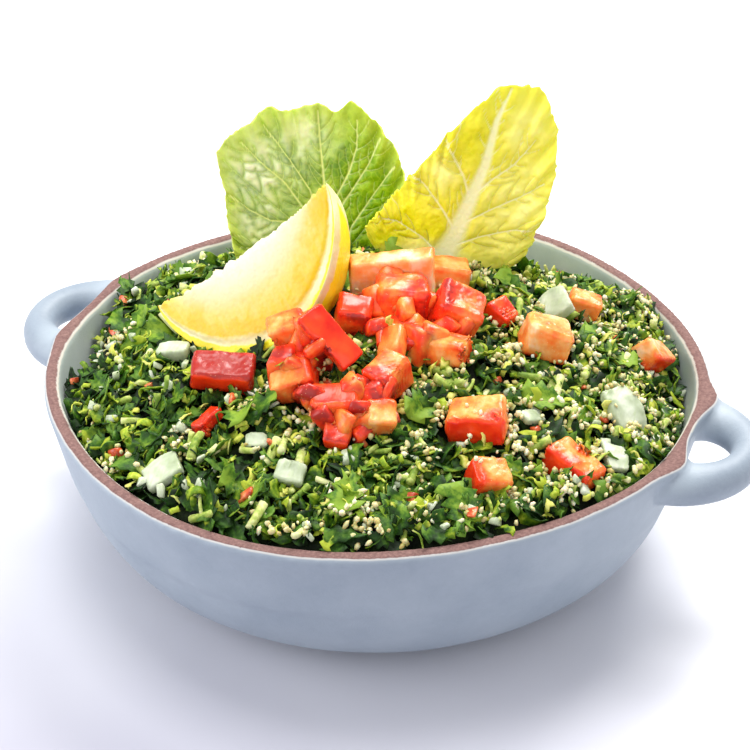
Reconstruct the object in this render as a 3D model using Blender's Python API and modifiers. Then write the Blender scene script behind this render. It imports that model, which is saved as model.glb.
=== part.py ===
"""Tabbouleh in a two-handled stoneware bowl, with a lemon wedge and two lettuce leaves.

Metres, +Z up. The origin is on the table under the middle of the bowl's foot, the handles lie
along X, and the shown side faces -Y. Run with: blender --background --python part.py
"""
import math
import random

import bmesh
import bpy
from mathutils import Euler, Matrix, Vector
from mathutils.bvhtree import BVHTree

MM = 0.001
CLEARANCE = 0.35 * MM          # gap kept between pieces that touch
WELD = 0.03 * MM               # a cut's points this close are made one

# Bowl
RIM_RADIUS = 100 * MM
RIM_HEIGHT = 56 * MM
RIM_WIDTH = 5 * MM
RIM_EDGE = 0.9 * MM            # rounding of the rim's two edges
RIM_NOTCH = 0.9 * MM           # how far the rim draws in between a handle's roots
RIM_DRAWN_IN = 0.9 * MM        # and round the whole handle
FLOOR = 5.5 * MM
FLOOR_RADIUS = 40 * MM
FOOT_RADIUS = 47 * MM
FOOT_RING = 7 * MM
FOOT_RECESS = 1.2 * MM
THROWING_STEP_HEIGHT = 34 * MM
THROWING_STEP = 0.45 * MM
RIM_WOBBLE = 1.3 * MM
BOWL_STEPS = 52

# Profiles of the wall, as Bezier corners (radius, height), and where they are cut into rings
OUTSIDE = ((FOOT_RADIUS, 0), (91 * MM, 3.4 * MM), (92.6 * MM, 24.2 * MM), (RIM_RADIUS, RIM_HEIGHT))
INSIDE = ((FLOOR_RADIUS, FLOOR), (84.5 * MM, 8.5 * MM), (88 * MM, 26 * MM),
          (RIM_RADIUS - RIM_WIDTH, RIM_HEIGHT))
INSIDE_HEIGHTS = (7, 9.5, 13, 18, 24, 32, 40, 48, 54.8)
OUTSIDE_HEIGHTS = (54.6, 50, 45, 40, 35, 33, 27, 20, 13, 7, 3, 1)

# Handles
HANDLE_TURN = math.radians(-3.1)
HANDLE_REACH = 113.6 * MM      # middle of the strap at its furthest point
HANDLE_MIDDLE_HEIGHT = 48.6 * MM
HANDLE_HALF_HEIGHT = 5.6 * MM
HANDLE_HALF_WIDTH = 4.8 * MM
HANDLE_ROOT_HALF_WIDTH = 9.5 * MM
HANDLE_ROOT_ANGLE = math.radians(10.6)
HANDLE_STATIONS = 7            # along half the strap
FLARE_ANGLE = math.radians(10.6)
FLARE_SPREAD = math.radians(4.4)
FLARE = 3 * MM
LEFT_SHARE = 0.4               # the left handle's flares and notch, as a share of the right one's
NOTCH_SPREAD = math.radians(6)
DRAWN_IN_SPREAD = math.radians(25)
CALM_SPREAD = math.radians(16)  # the wobble fades this near a handle

# Salad
HEAP_CREST = 77 * MM
HEAP_EDGE = 49.5 * MM
HEAP_EDGE_SWING = 3.8 * MM
SHOWN_SIDE = math.radians(-71)
HEAP_RADIUS = 93 * MM
HEAP_ROUGHNESS = 0.9 * MM
HEAP_RINGS = 13
HEAP_STEPS = 46
WALL_GAP = 0.7 * MM            # between the salad and the bowl
PIECE_COUNT = 150

# Rises and hollows in the heap: x, y, spread, height (mm)
HEAP_LUMPS = ((20, 76, 30, -6.5), (64, 58, 15, 3.5), (-86, 24, 9, 2.5), (-40, -12, 20, -3),
              (-8, -35, 11, 3.5), (2, -12, 12, 2.5), (5, -36, 6, 2.5))

# A crowded topping gives way along this line, up and to the shown side
GIVE_WAY = Vector((0.28, -0.8, 0.53)) * 0.5 * MM

# Leaves
LEAF_THICKNESS = 1.0 * MM

COLOURS = {
    "stoneware": ((0.55, 0.64, 0.70, 1), 0.45),
    "salad": ((0.10, 0.22, 0.03, 1), 0.6),
    "lemon": ((0.93, 0.78, 0.20, 1), 0.35),
    "lettuce_green": ((0.36, 0.58, 0.06, 1), 0.45),
    "lettuce_yellow": ((0.74, 0.76, 0.10, 1), 0.45),
    "tomato": ((0.86, 0.16, 0.05, 1), 0.25),
    "onion": ((0.86, 0.88, 0.74, 1), 0.3),
}

# Each dice of tomato: x, y of its middle, lift over the heap, length, width, height (mm), turn, tilt
TOMATO_DICE = (
    (52, 0, 4, 14, 11, 11, 20, 10),
    (36, 9, 2.5, 9, 7, 6, -30, 5),
    (55, 34, 3, 9, 8, 7, 15, -8),
    (78, 27, 2.5, 11, 9, 8, 60, 10),
    (71, -41, 0.5, 15, 11, 8, -20, 0),
    (44, -42, 3, 16, 12, 9, 8, -6),
    (52, -58, 2.5, 10, 9, 9, 35, 10),
    (-29, -60, 1, 10, 5, 4, 70, 0),
    (-31, -43, 2.5, 19, 10, 8, 14, 6),
    (-7.2, -48.2, 4.4, 11, 8, 8, 19, -10),
    (9.8, -61.2, 2, 7, 6, 5, 10, 8),
    (6.6, -52.8, 4.4, 12, 8, 8, 14, 6),
    (18, -54.4, 3.6, 8, 8, 8, 24, 8),
    (16.8, -40, 4.8, 12, 9, 10, 72, -15),
    (28.4, -20.6, 4.1, 11.5, 8, 7, -8, 0),
    (14.2, -22, 4, 11, 7, 7, 19, -5),
    (-1.6, -17, 5, 9.5, 9, 9, 12, 8),
    (15, 19.5, 4, 14, 9, 8, 26, 0),
    (-13.8, -36, 11.3, 10, 8, 7, 24, 8),
    (-7.8, -37.2, 1, 12, 8, 7.5, 14, 0),
    (26.2, -5.2, 5.6, 12.5, 12, 12.5, 16, 8),
    (11.2, -7.3, 5.2, 13.4, 12, 13, 19, 2),
    (0.6, -39.6, 10.2, 18, 7.5, 5, -25, 24),
    (3.6, 1.8, 6, 22, 6, 14, 19, -8),
)

# Each piece of onion: x, y, lift, length, width, thickness (mm), turn, tilt, bend in degrees
ONION_PIECES = (
    (-35, -78, 1.8, 11, 10, 3, 35, 0, 12),
    (49, 23, 4, 9, 10, 4, 40, -60, 20),
    (79, -11, 2.5, 15, 12, 3.2, -30, 10, 60),
    (80, -29, 1.5, 12, 7, 3, -62, 0, 40),
    (-51, -33, 2.5, 9, 6.5, 4, 10, 0, 10),
    (1, -74, 1.2, 8, 7, 3.5, 5, 0, 10),
    (57, -32, 1.5, 9, 5, 2.2, 60, 20, 30),
    (-12, -66, 1.2, 6, 5, 3, 20, 0, 8),
)

LEMON = {"middle": (-38, -11, 95.5), "turn": (43, -39.5, 15.6), "length": 66, "radius": 33, "wedge": 64}

# A leaf is a fan from its base: its edge is given by (degrees from upright, reach in mm)
LEAF_LEFT = {
    "base": (-27, 36, 50), "yaw": 19, "lean": 12, "cup": -5, "ripple": 1.6,
    "edge": ((-66, 31), (-58, 36), (-46, 46), (-37, 58), (-31, 67), (-24, 69), (-16, 69.5),
             (-6, 68), (4, 69), (9, 67), (14, 64), (20, 57), (25, 53), (30, 47)),
}
LEAF_RIGHT = {
    "base": (3, 33, 58), "yaw": 19, "lean": 10, "cup": 5, "ripple": 1.8,
    "edge": ((-34, 22), (-27, 32), (-16, 36), (-4, 46), (5, 55), (13, 66), (20, 77), (28, 78),
             (35, 72), (42, 62), (50, 51), (58, 42), (68, 34)),
}


def clear_scene():
    for item in list(bpy.data.objects):
        bpy.data.objects.remove(item, do_unlink=True)


def new_collection(name):
    group = bpy.data.collections.new(name)
    bpy.context.scene.collection.children.link(group)
    return group


def material(name):
    found = bpy.data.materials.get(name)
    if found:
        return found
    colour, roughness = COLOURS[name]
    made = bpy.data.materials.new(name)
    made.use_nodes = True
    shader = made.node_tree.nodes["Principled BSDF"]
    shader.inputs["Base Color"].default_value = colour
    shader.inputs["Roughness"].default_value = roughness
    shader.inputs["Metallic"].default_value = 0.0
    made.diffuse_color = colour
    return made


def add_object(name, bm, finish, group):
    mesh = bpy.data.meshes.new(name)
    bm.to_mesh(mesh)
    bm.free()
    piece = bpy.data.objects.new(name, mesh)
    mesh.materials.append(material(finish))
    group.objects.link(piece)
    return piece


def as_cutter(piece):
    piece.hide_render = True
    piece.display_type = 'WIRE'
    return piece


def apply_modifiers(piece):
    """Gives the piece its evaluated mesh and drops its modifiers."""
    graph = bpy.context.evaluated_depsgraph_get()
    mesh = bpy.data.meshes.new_from_object(piece.evaluated_get(graph))
    piece.modifiers.clear()
    old = piece.data
    piece.data = mesh
    mesh.name = piece.name
    bpy.data.meshes.remove(old)


def combine(piece, others, operation, solver='EXACT'):
    """Joins a collection to the piece, or cuts it away, and applies that."""
    boolean = piece.modifiers.new(operation.title(), 'BOOLEAN')
    boolean.operation = operation
    boolean.operand_type = 'COLLECTION'
    boolean.collection = others
    boolean.solver = solver
    apply_modifiers(piece)


def empty_collection(group):
    for item in list(group.objects):
        bpy.data.objects.remove(item, do_unlink=True)
    bpy.data.collections.remove(group)


def weld_slivers(piece):
    bm = bmesh.new()
    bm.from_mesh(piece.data)
    bmesh.ops.triangulate(bm, faces=bm.faces[:])
    bmesh.ops.remove_doubles(bm, verts=bm.verts[:], dist=WELD)
    bmesh.ops.dissolve_degenerate(bm, dist=WELD, edges=bm.edges[:])
    bmesh.ops.triangulate(bm, faces=bm.faces[:])
    bm.to_mesh(piece.data)
    bm.free()


def keep_largest_shell(piece):
    """Drops loose scraps, and fills hollows that a union has sealed."""
    bm = bmesh.new()
    bm.from_mesh(piece.data)
    shells = []
    left = set(bm.faces)
    while left:
        front = [left.pop()]
        shell = []
        while front:
            face = front.pop()
            shell.append(face)
            near = {f for edge in face.edges for f in edge.link_faces if f in left}
            left -= near
            front.extend(near)
        shells.append(shell)
    largest = max(shells, key=len)
    for shell in shells:
        if shell is not largest:
            bmesh.ops.delete(bm, geom=shell, context='FACES')
    loose = [vert for vert in bm.verts if not vert.link_faces]
    bmesh.ops.delete(bm, geom=loose, context='VERTS')
    bm.to_mesh(piece.data)
    bm.free()


def smooth(value):
    """Eases 0 to 1."""
    value = min(max(value, 0.0), 1.0)
    return value * value * (3 - 2 * value)


# ---------------------------------------------------------------- bowl

def radius_on(corners, height):
    """Radius at a height of a wall whose profile is a Bezier curve that only climbs."""
    low, high = 0.0, 1.0
    for _ in range(40):
        t = (low + high) / 2
        if bezier(corners, t)[1] < height:
            low = t
        else:
            high = t
    return bezier(corners, low)[0]


def outer_wall(height):
    """Radius of the bowl's outside: a round belly from the foot to an upright rim, with a faint step."""
    radius = radius_on(OUTSIDE, height)
    step = THROWING_STEP * smooth((THROWING_STEP_HEIGHT - height) / (1.5 * MM) + 0.5)
    return radius - step * smooth(height / (10 * MM))


def inner_wall(height):
    return radius_on(INSIDE, height)


def wobble(angle, height):
    """The hand-made rim's slight four-cornered form, fading down to the foot and at the handles."""
    calm = 1 - math.exp(-(handle_side(angle) / CALM_SPREAD) ** 2)
    return RIM_WOBBLE * math.cos(4 * angle) * calm * smooth(height / RIM_HEIGHT)


def inner_reach(x, y, height):
    """Radius of the inside at a place and height."""
    height = min(height, RIM_HEIGHT)
    return inner_wall(height) + wobble(math.atan2(y, x), height)


def bezier(corners, t):
    s = 1 - t
    weights = (s ** 3, 3 * s * s * t, 3 * s * t * t, t ** 3)
    return tuple(sum(w * c[i] for w, c in zip(weights, corners)) for i in (0, 1))


def handle_side(angle):
    """Angle from the nearer handle."""
    return abs((angle - HANDLE_TURN + math.pi / 2) % math.pi - math.pi / 2)


def rim_shift(angle, height):
    """How far the outer edge stands in or out: drawn in at a handle's middle, flared at its roots."""
    side = handle_side(angle)
    share = 1 if math.cos(angle) > 0 else LEFT_SHARE
    notch = RIM_NOTCH * share * math.exp(-(side / NOTCH_SPREAD) ** 2)
    drawn_in = RIM_DRAWN_IN * share * math.exp(-(side / DRAWN_IN_SPREAD) ** 2)
    flare = FLARE * share * math.exp(-((side - FLARE_ANGLE) / FLARE_SPREAD) ** 2)
    plain = wobble(angle, height) - (notch + drawn_in) * smooth(height / RIM_HEIGHT)
    return plain + flare * smooth((height - 46 * MM) / (8 * MM))


def bowl_profile():
    """From the middle of the floor up the inside, over the rim and down the outside to the foot."""
    points = [(0, FLOOR), (FLOOR_RADIUS, FLOOR)]
    points += [(inner_wall(z * MM), z * MM) for z in INSIDE_HEIGHTS]
    points += [(RIM_RADIUS - RIM_WIDTH + RIM_EDGE, RIM_HEIGHT), (RIM_RADIUS - 1.3 * RIM_EDGE, RIM_HEIGHT)]
    points += [(outer_wall(z * MM), z * MM) for z in OUTSIDE_HEIGHTS]
    points += [(FOOT_RADIUS, 0), (FOOT_RADIUS - FOOT_RING, 0)]
    points += [(FOOT_RADIUS - FOOT_RING - FOOT_RECESS, FOOT_RECESS), (0, FOOT_RECESS)]
    return points


def turned(name, points, finish, group, steps):
    """A profile turned about Z, as an applied mesh."""
    bm = bmesh.new()
    verts = [bm.verts.new((radius, 0, z)) for radius, z in points]
    for first, second in zip(verts, verts[1:]):
        bm.edges.new((first, second))
    piece = add_object(name, bm, finish, group)
    screw = piece.modifiers.new("Screw", 'SCREW')
    screw.steps = steps
    screw.render_steps = steps
    screw.use_merge_vertices = True
    screw.merge_threshold = 0.00001
    apply_modifiers(piece)
    return piece


def bowl_body(group):
    bowl = turned("bowl", bowl_profile(), "stoneware", group, BOWL_STEPS)
    for vert in bowl.data.vertices:
        radius = math.hypot(vert.co.x, vert.co.y)
        if radius < FOOT_RADIUS + 1 * MM and vert.co.z < FLOOR:
            continue
        angle = math.atan2(vert.co.y, vert.co.x)
        inside = radius < outer_wall(vert.co.z) - RIM_WIDTH / 2
        shift = wobble(angle, vert.co.z) if inside else rim_shift(angle, vert.co.z)
        if radius > 0:
            vert.co.x *= (radius + shift) / radius
            vert.co.y *= (radius + shift) / radius
    return bowl


def handle_stations():
    """Middle of the strap in plan and its half width, from one root, square to the wall, to the other."""
    root = RIM_RADIUS - 3.8 * MM
    corners = ((root * math.cos(HANDLE_ROOT_ANGLE), root * math.sin(HANDLE_ROOT_ANGLE)),
               ((root + 8 * MM) * math.cos(HANDLE_ROOT_ANGLE), (root + 8 * MM) * math.sin(HANDLE_ROOT_ANGLE)),
               (HANDLE_REACH, 12 * MM), (HANDLE_REACH, 0))
    half = []
    for k in range(HANDLE_STATIONS):
        t = k / (HANDLE_STATIONS - 1)
        x, y = bezier(corners, t)
        half.append((x, y, HANDLE_HALF_WIDTH + (HANDLE_ROOT_HALF_WIDTH - HANDLE_HALF_WIDTH) * (1 - t) ** 2))
    other = [(x, -y, width) for x, y, width in reversed(half[:-1])]
    return [Vector(station) for station in half + other]


def strap(name, turn, group):
    """An oval strap bent into a loop, as rings bridged one to the next."""
    bm = bmesh.new()
    stations = handle_stations()
    rings = []
    for k, here in enumerate(stations):
        ahead = stations[min(k + 1, len(stations) - 1)] - stations[max(k - 1, 0)]
        heading = math.atan2(ahead.y, ahead.x)
        place = Matrix.Translation((here.x, here.y, HANDLE_MIDDLE_HEIGHT))
        upright = Matrix.Rotation(heading, 4, 'Z') @ Matrix.Rotation(math.pi / 2, 4, 'Y')
        size = Matrix.Diagonal((HANDLE_HALF_HEIGHT, here.z, 1, 1))
        ring = bmesh.ops.create_circle(bm, segments=12, radius=1, matrix=place @ upright @ size)
        rings.append(ring["verts"])
    for first, second in zip(rings, rings[1:]):
        edges = {e for v in first + second for e in v.link_edges
                 if set(e.verts) <= set(first) or set(e.verts) <= set(second)}
        bmesh.ops.bridge_loops(bm, edges=list(edges))
    bmesh.ops.holes_fill(bm, edges=[e for e in bm.edges if e.is_boundary])
    bmesh.ops.recalc_face_normals(bm, faces=bm.faces[:])
    bmesh.ops.rotate(bm, matrix=Matrix.Rotation(turn, 3, 'Z'), verts=bm.verts[:])
    return as_cutter(add_object(name, bm, "stoneware", group))


def make_bowl(group):
    bowl = bowl_body(group)
    straps = new_collection("bowl_straps")
    strap("strap_right", HANDLE_TURN, straps)
    strap("strap_left", HANDLE_TURN + math.pi, straps)
    combine(bowl, straps, 'UNION', 'MANIFOLD')
    empty_collection(straps)
    keep_largest_shell(bowl)
    bowl.data.shade_smooth()
    bowl.data.set_sharp_from_angle(angle=math.radians(50))
    return bowl


# ---------------------------------------------------------------- salad

def heap_height(x, y):
    """Top of the bare heap: high in the middle, low by the wall, highest there on the shown side."""
    radius = math.hypot(x, y)
    angle = math.atan2(y, x)
    edge = HEAP_EDGE + HEAP_EDGE_SWING * math.cos(angle - SHOWN_SIDE)
    inward = min(radius / HEAP_RADIUS, 1)
    height = edge + (HEAP_CREST - edge) * (1 - inward * inward) ** 0.85
    for gap_angle, depth in ((-172, 7 * MM), (8, 8 * MM)):
        away = (math.degrees(angle) - gap_angle + 180) % 360 - 180
        height -= depth * math.exp(-(away / 10) ** 2) * smooth((radius - 76 * MM) / (14 * MM))
    u, v = x / MM, y / MM
    for lump_x, lump_y, spread, rise in HEAP_LUMPS:
        height += rise * MM * math.exp(-((u - lump_x) ** 2 + (v - lump_y) ** 2) / spread ** 2)
    height += 1.3 * MM * math.sin(0.11 * u + 0.7) * math.cos(0.13 * v - 0.4)
    return height + 0.9 * MM * math.sin(0.23 * u - 0.17 * v + 2)


def heap_slope(x, y):
    """A turn that lays a piece along the heap's slope."""
    step = 4 * MM
    east = heap_height(x + step, y) - heap_height(x - step, y)
    north = heap_height(x, y + step) - heap_height(x, y - step)
    normal = Vector((-east, -north, 2 * step)).normalized()
    return Vector((0, 0, 1)).rotation_difference(normal).to_matrix().to_4x4()


def on_heap(x, y, lift, turn, tilt=0.0, roll=0.0):
    """Where a piece lies: on the slope, turned about its own upright, then tilted."""
    place = Matrix.Translation((x, y, heap_height(x, y) + lift))
    own = Euler((roll, tilt, 0), 'XYZ').to_matrix().to_4x4()
    return place @ heap_slope(x, y) @ Matrix.Rotation(turn, 4, 'Z') @ own


def core_profile():
    """Out along the heap's top to the wall, then down the inside of the bowl to its floor."""
    rings = [HEAP_RADIUS * math.sqrt(k / HEAP_RINGS) for k in range(HEAP_RINGS + 1)]
    points = [(radius, 1.0) for radius in rings]
    sides = [z * MM for z in reversed(INSIDE_HEIGHTS) if z * MM < HEAP_EDGE - 14 * MM]
    points += [(inner_wall(z), z) for z in sides]
    return points + [(FLOOR_RADIUS, FLOOR), (0, FLOOR)]


def salad_core(group):
    """The heap's body: its top raised to the heap's form, its sides held off the bowl."""
    core = turned("salad", core_profile(), "salad", group, HEAP_STEPS)
    draw = random.Random(11)
    for vert in core.data.vertices:
        x, y = vert.co.x, vert.co.y
        radius = math.hypot(x, y)
        if vert.co.z > 0.5:
            edge = radius > HEAP_RADIUS - 0.1 * MM
            vert.co.z = heap_height(x, y) + (0 if edge else draw.uniform(-1, 1) * HEAP_ROUGHNESS)
            reach = inner_reach(x, y, vert.co.z) - WALL_GAP if edge else radius
        else:
            vert.co.z += WALL_GAP
            reach = min(radius, inner_reach(x, y, vert.co.z) - WALL_GAP)
        if radius > 0:
            vert.co.x *= reach / radius
            vert.co.y *= reach / radius
    return core


def inside_bowl(bm, margin):
    return all(math.hypot(v.co.x, v.co.y) < inner_reach(v.co.x, v.co.y, v.co.z) - margin for v in bm.verts)


def flake(bm, draw):
    """A chopped bit of parsley leaf: a six-sided slip folded along its length."""
    length, width = draw.uniform(3.6, 6.0) * MM, draw.uniform(1.8, 3.0) * MM
    bmesh.ops.create_circle(bm, segments=6, radius=1, cap_ends=True)
    bmesh.ops.scale(bm, vec=(length, width, 1), verts=bm.verts[:])
    solid = bmesh.ops.extrude_face_region(bm, geom=bm.faces[:])
    raised = [item for item in solid["geom"] if isinstance(item, bmesh.types.BMVert)]
    bmesh.ops.translate(bm, vec=(0, 0, draw.uniform(1.2, 1.8) * MM), verts=raised)
    for vert in bm.verts:
        vert.co.z += 0.35 * abs(vert.co.y) - 0.12 * abs(vert.co.x)


def stalk(bm, draw):
    length = draw.uniform(6, 11) * MM
    radius = draw.uniform(0.8, 1.2) * MM
    lying = Matrix.Rotation(math.pi / 2, 4, 'Y')
    bmesh.ops.create_cone(bm, cap_ends=True, segments=5, radius1=radius, radius2=radius * 0.9,
                          depth=length, matrix=lying)


def grain(bm, draw):
    bmesh.ops.create_icosphere(bm, subdivisions=1, radius=draw.uniform(1.1, 1.5) * MM)
    bmesh.ops.scale(bm, vec=(1.25, 0.9, 0.85), verts=bm.verts[:])


def onion_bit(bm, draw):
    bmesh.ops.create_cube(bm, size=1)
    size = [draw.uniform(2.6, 4.6) * MM, draw.uniform(2.4, 3.6) * MM, draw.uniform(1.8, 2.6) * MM]
    bmesh.ops.scale(bm, vec=size, verts=bm.verts[:])


PIECE_KINDS = ((flake, 0.47, 6.5 * MM), (stalk, 0.18, 6 * MM), (grain, 0.22, 2 * MM), (onion_bit, 0.13, 3 * MM))


def tree_of(bm):
    return BVHTree.FromBMesh(bm)


def meets(bm, tree):
    """Whether the piece crosses the space or lies inside it."""
    middle = sum((vert.co for vert in bm.verts), Vector()) / len(bm.verts)
    surface, normal, _, _ = tree.find_nearest(middle)
    return bool(tree_of(bm).overlap(tree)) or (middle - surface).dot(normal) < 0


def spread_pieces(group, taken):
    """Pieces that show on the heap, at even spacing round a spiral, clear of the toppings."""
    draw = random.Random(29)
    golden = math.pi * (3 - math.sqrt(5))
    for index in range(PIECE_COUNT):
        pick = draw.random()
        for make, share, reach in PIECE_KINDS:
            pick -= share
            if pick < 0:
                break
        radius = (HEAP_RADIUS - reach) * math.sqrt((index + 0.5) / PIECE_COUNT)
        angle = index * golden
        x = radius * math.cos(angle) + draw.uniform(-2, 2) * MM
        y = radius * math.sin(angle) + draw.uniform(-2, 2) * MM
        bm = bmesh.new()
        make(bm, draw)
        place = on_heap(x, y, 0.2 * MM, draw.uniform(0, math.tau), draw.uniform(-0.35, 0.35), draw.uniform(-0.3, 0.3))
        bmesh.ops.transform(bm, matrix=place, verts=bm.verts[:])
        bmesh.ops.recalc_face_normals(bm, faces=bm.faces[:])
        if not inside_bowl(bm, WALL_GAP) or any(meets(bm, other) for other in taken):
            bm.free()
            continue
        as_cutter(add_object(f"piece_{index:03d}", bm, "salad", group))


# ---------------------------------------------------------------- toppings

def die(size, draw):
    """A cut dice: a box with uneven corners."""
    bm = bmesh.new()
    bmesh.ops.create_cube(bm, size=1)
    for vert in bm.verts:
        vert.co += Vector([draw.uniform(-0.07, 0.07) for _ in range(3)])
    bmesh.ops.scale(bm, vec=size, verts=bm.verts[:])
    return bm


def round_off(piece, by):
    bm = bmesh.new()
    bm.from_mesh(piece.data)
    bmesh.ops.bevel(bm, geom=bm.edges[:], offset=by, segments=1, profile=0.5,
                    affect='EDGES', material=-1)
    bm.to_mesh(piece.data)
    bm.free()


def bent_plate(size, bend, draw):
    """A piece of one onion layer: a plate bent about its width."""
    length, width, thickness = size
    bm = bmesh.new()
    bmesh.ops.create_cube(bm, size=1)
    along = [edge for edge in bm.edges if abs(edge.verts[0].co.x - edge.verts[1].co.x) > 0.5]
    bmesh.ops.subdivide_edges(bm, edges=along, cuts=3, use_grid_fill=True)
    bmesh.ops.scale(bm, vec=size, verts=bm.verts[:])
    radius = length / math.radians(bend)
    for vert in bm.verts:
        turn = vert.co.x / radius
        taper = 1 - 0.18 * (2 * vert.co.x / length) ** 2
        out = radius + vert.co.z
        vert.co = Vector((out * math.sin(turn), vert.co.y * taper, out * math.cos(turn) - radius))
    return bm


def lemon_wedge_shape():
    """The peel's curve turned about the lemon's axis, closed by two flat cut faces."""
    half = LEMON["length"] * MM / 2
    radius = LEMON["radius"] * MM
    count = 15
    bm = bmesh.new()
    peel = []
    for k in range(count):
        t = math.cos(math.pi * k / (count - 1))
        belly = radius * (1 - t * t) ** 0.5
        nipple = half * (t + 0.06 * t ** 7) / 1.06
        peel.append(bm.verts.new((nipple, -belly, 0)))
    edges = [bm.edges.new(pair) for pair in zip(peel, peel[1:])]
    bmesh.ops.spin(bm, geom=peel + edges, cent=(0, 0, 0), axis=(1, 0, 0),
                   angle=math.radians(LEMON["wedge"]), steps=6)
    bmesh.ops.remove_doubles(bm, verts=bm.verts[:], dist=0.05 * MM)
    rim = [edge for edge in bm.edges if edge.is_boundary]
    ends = sorted({v for e in rim for v in e.verts}, key=lambda v: v.co.x)
    bm.edges.new((ends[0], ends[-1]))
    bmesh.ops.holes_fill(bm, edges=[e for e in bm.edges if len(e.link_faces) < 2])
    bmesh.ops.recalc_face_normals(bm, faces=bm.faces[:])
    return bm


def lemon_place():
    turn = Euler([math.radians(a) for a in LEMON["turn"]], 'XYZ').to_matrix().to_4x4()
    return Matrix.Translation(Vector(LEMON["middle"]) * MM) @ turn


def between(table, at):
    """Reads a value from a table of (place, value) rows, in straight lines between them."""
    for (first, low), (second, high) in zip(table, table[1:]):
        if at <= second:
            return low + (high - low) * (at - first) / (second - first)
    return table[-1][1]


def leaf_sheet(leaf):
    """The leaf's middle surface: a fan from its base, cupped and rippled."""
    bm = bmesh.new()
    across, up = 14, 9
    bmesh.ops.create_grid(bm, x_segments=across, y_segments=up, size=0.5)
    edge = leaf["edge"]
    low, high = edge[0][0], edge[-1][0]
    middle = (low + high) / 2
    start = 7 * MM
    for vert in bm.verts:
        u, v = vert.co.x + 0.5, vert.co.y + 0.5
        degrees = low + (high - low) * u
        distance = start + (between(edge, degrees) * MM - start) * v
        angle = math.radians(degrees)
        side = (degrees - middle) / (high - low) * 2
        depth = leaf["cup"] * MM * side * side * v + leaf["ripple"] * MM * v * v * math.sin(0.16 * degrees + 3 * v)
        vert.co = Vector((distance * math.sin(angle), depth, distance * math.cos(angle)))
    bmesh.ops.triangulate(bm, faces=bm.faces[:])
    lean = Matrix.Rotation(math.radians(-leaf["lean"]), 4, 'X')
    yaw = Matrix.Rotation(math.radians(leaf["yaw"]), 4, 'Z')
    place = Matrix.Translation(Vector(leaf["base"]) * MM) @ yaw @ lean
    bmesh.ops.transform(bm, matrix=place, verts=bm.verts[:])
    return bm


def make_leaf(name, leaf, finish, group):
    piece = add_object(name, leaf_sheet(leaf), finish, group)
    skin = piece.modifiers.new("Thickness", 'SOLIDIFY')
    skin.thickness = LEAF_THICKNESS
    skin.offset = 0
    skin.use_even_offset = True
    apply_modifiers(piece)
    piece.data.shade_smooth()
    return piece


def inflated(piece, name, by, group):
    """A copy whose points stand out along their normals: what the core is cut back from."""
    bm = bmesh.new()
    bm.from_mesh(piece.data)
    bmesh.ops.recalc_face_normals(bm, faces=bm.faces[:])
    bm.normal_update()
    for vert in bm.verts:
        vert.co += vert.normal * by
    return as_cutter(add_object(name, bm, "salad", group))


def settled(bm, place, taken):
    """Nudges the piece aside, or else along GIVE_WAY, until it is clear of those already there."""
    bmesh.ops.transform(bm, matrix=place, verts=bm.verts[:])
    home = [vert.co.copy() for vert in bm.verts]
    for step in range(60):
        for aside in range(41):
            spread = math.ceil(aside / 8) * 0.8 * MM
            angle = math.radians(45 * aside)
            shift = step * GIVE_WAY + Vector((spread * math.cos(angle), spread * math.sin(angle), 0))
            for vert, start in zip(bm.verts, home):
                vert.co = start + shift
            tree = tree_of(bm)
            if inside_bowl(bm, WALL_GAP) and not any(tree.overlap(other) for other in taken):
                bmesh.ops.recalc_face_normals(bm, faces=bm.faces[:])
                return


def spaced_tree(piece, group, by=1.6 * CLEARANCE):
    """The space that a placed piece takes up, with the clearance round it."""
    space = inflated(piece, piece.name + "_space", by, group)
    bm = bmesh.new()
    bm.from_mesh(space.data)
    tree = tree_of(bm)
    bm.free()
    return tree


def make_toppings(group, spaces):
    """All that stands or lies on the salad; each leaves its space in the other collection."""
    taken = []
    lemon = lemon_wedge_shape()
    bmesh.ops.transform(lemon, matrix=lemon_place(), verts=lemon.verts[:])
    bmesh.ops.recalc_face_normals(lemon, faces=lemon.faces[:])
    wedge = add_object("lemon_wedge", lemon, "lemon", group)
    taken.append(spaced_tree(wedge, spaces))
    for side, leaf, finish in (("left", LEAF_LEFT, "lettuce_green"), ("right", LEAF_RIGHT, "lettuce_yellow")):
        piece = make_leaf(f"lettuce_leaf_{side}", leaf, finish, group)
        taken.append(spaced_tree(piece, spaces))
    draw = random.Random(5)
    for number, (x, y, lift, length, width, thick, turn, tilt, bend) in enumerate(ONION_PIECES, 1):
        bm = bent_plate([size * MM for size in (length, width, thick)], bend, draw)
        place = on_heap(x * MM, y * MM, lift * MM, math.radians(turn), math.radians(tilt))
        settled(bm, place, taken)
        piece = add_object(f"onion_{number:02d}", bm, "onion", group)
        taken.append(spaced_tree(piece, spaces))
    for number, (x, y, lift, length, width, height, turn, tilt) in enumerate(TOMATO_DICE, 1):
        bm = die([size * MM for size in (length, width, height)], draw)
        place = on_heap(x * MM, y * MM, lift * MM, math.radians(turn), math.radians(tilt))
        settled(bm, place, taken)
        piece = add_object(f"tomato_{number:02d}", bm, "tomato", group)
        taken.append(spaced_tree(piece, spaces, 2.6 * CLEARANCE))
        round_off(piece, 0.11 * min(length, width, height) * MM)
    return taken


def make_salad(group, spaces, taken):
    core = salad_core(group)
    combine(core, spaces, 'DIFFERENCE')
    weld_slivers(core)
    keep_largest_shell(core)
    pieces = new_collection("salad_pieces")
    spread_pieces(pieces, taken)
    combine(core, pieces, 'UNION', 'MANIFOLD')
    empty_collection(pieces)
    keep_largest_shell(core)
    return core


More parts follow.
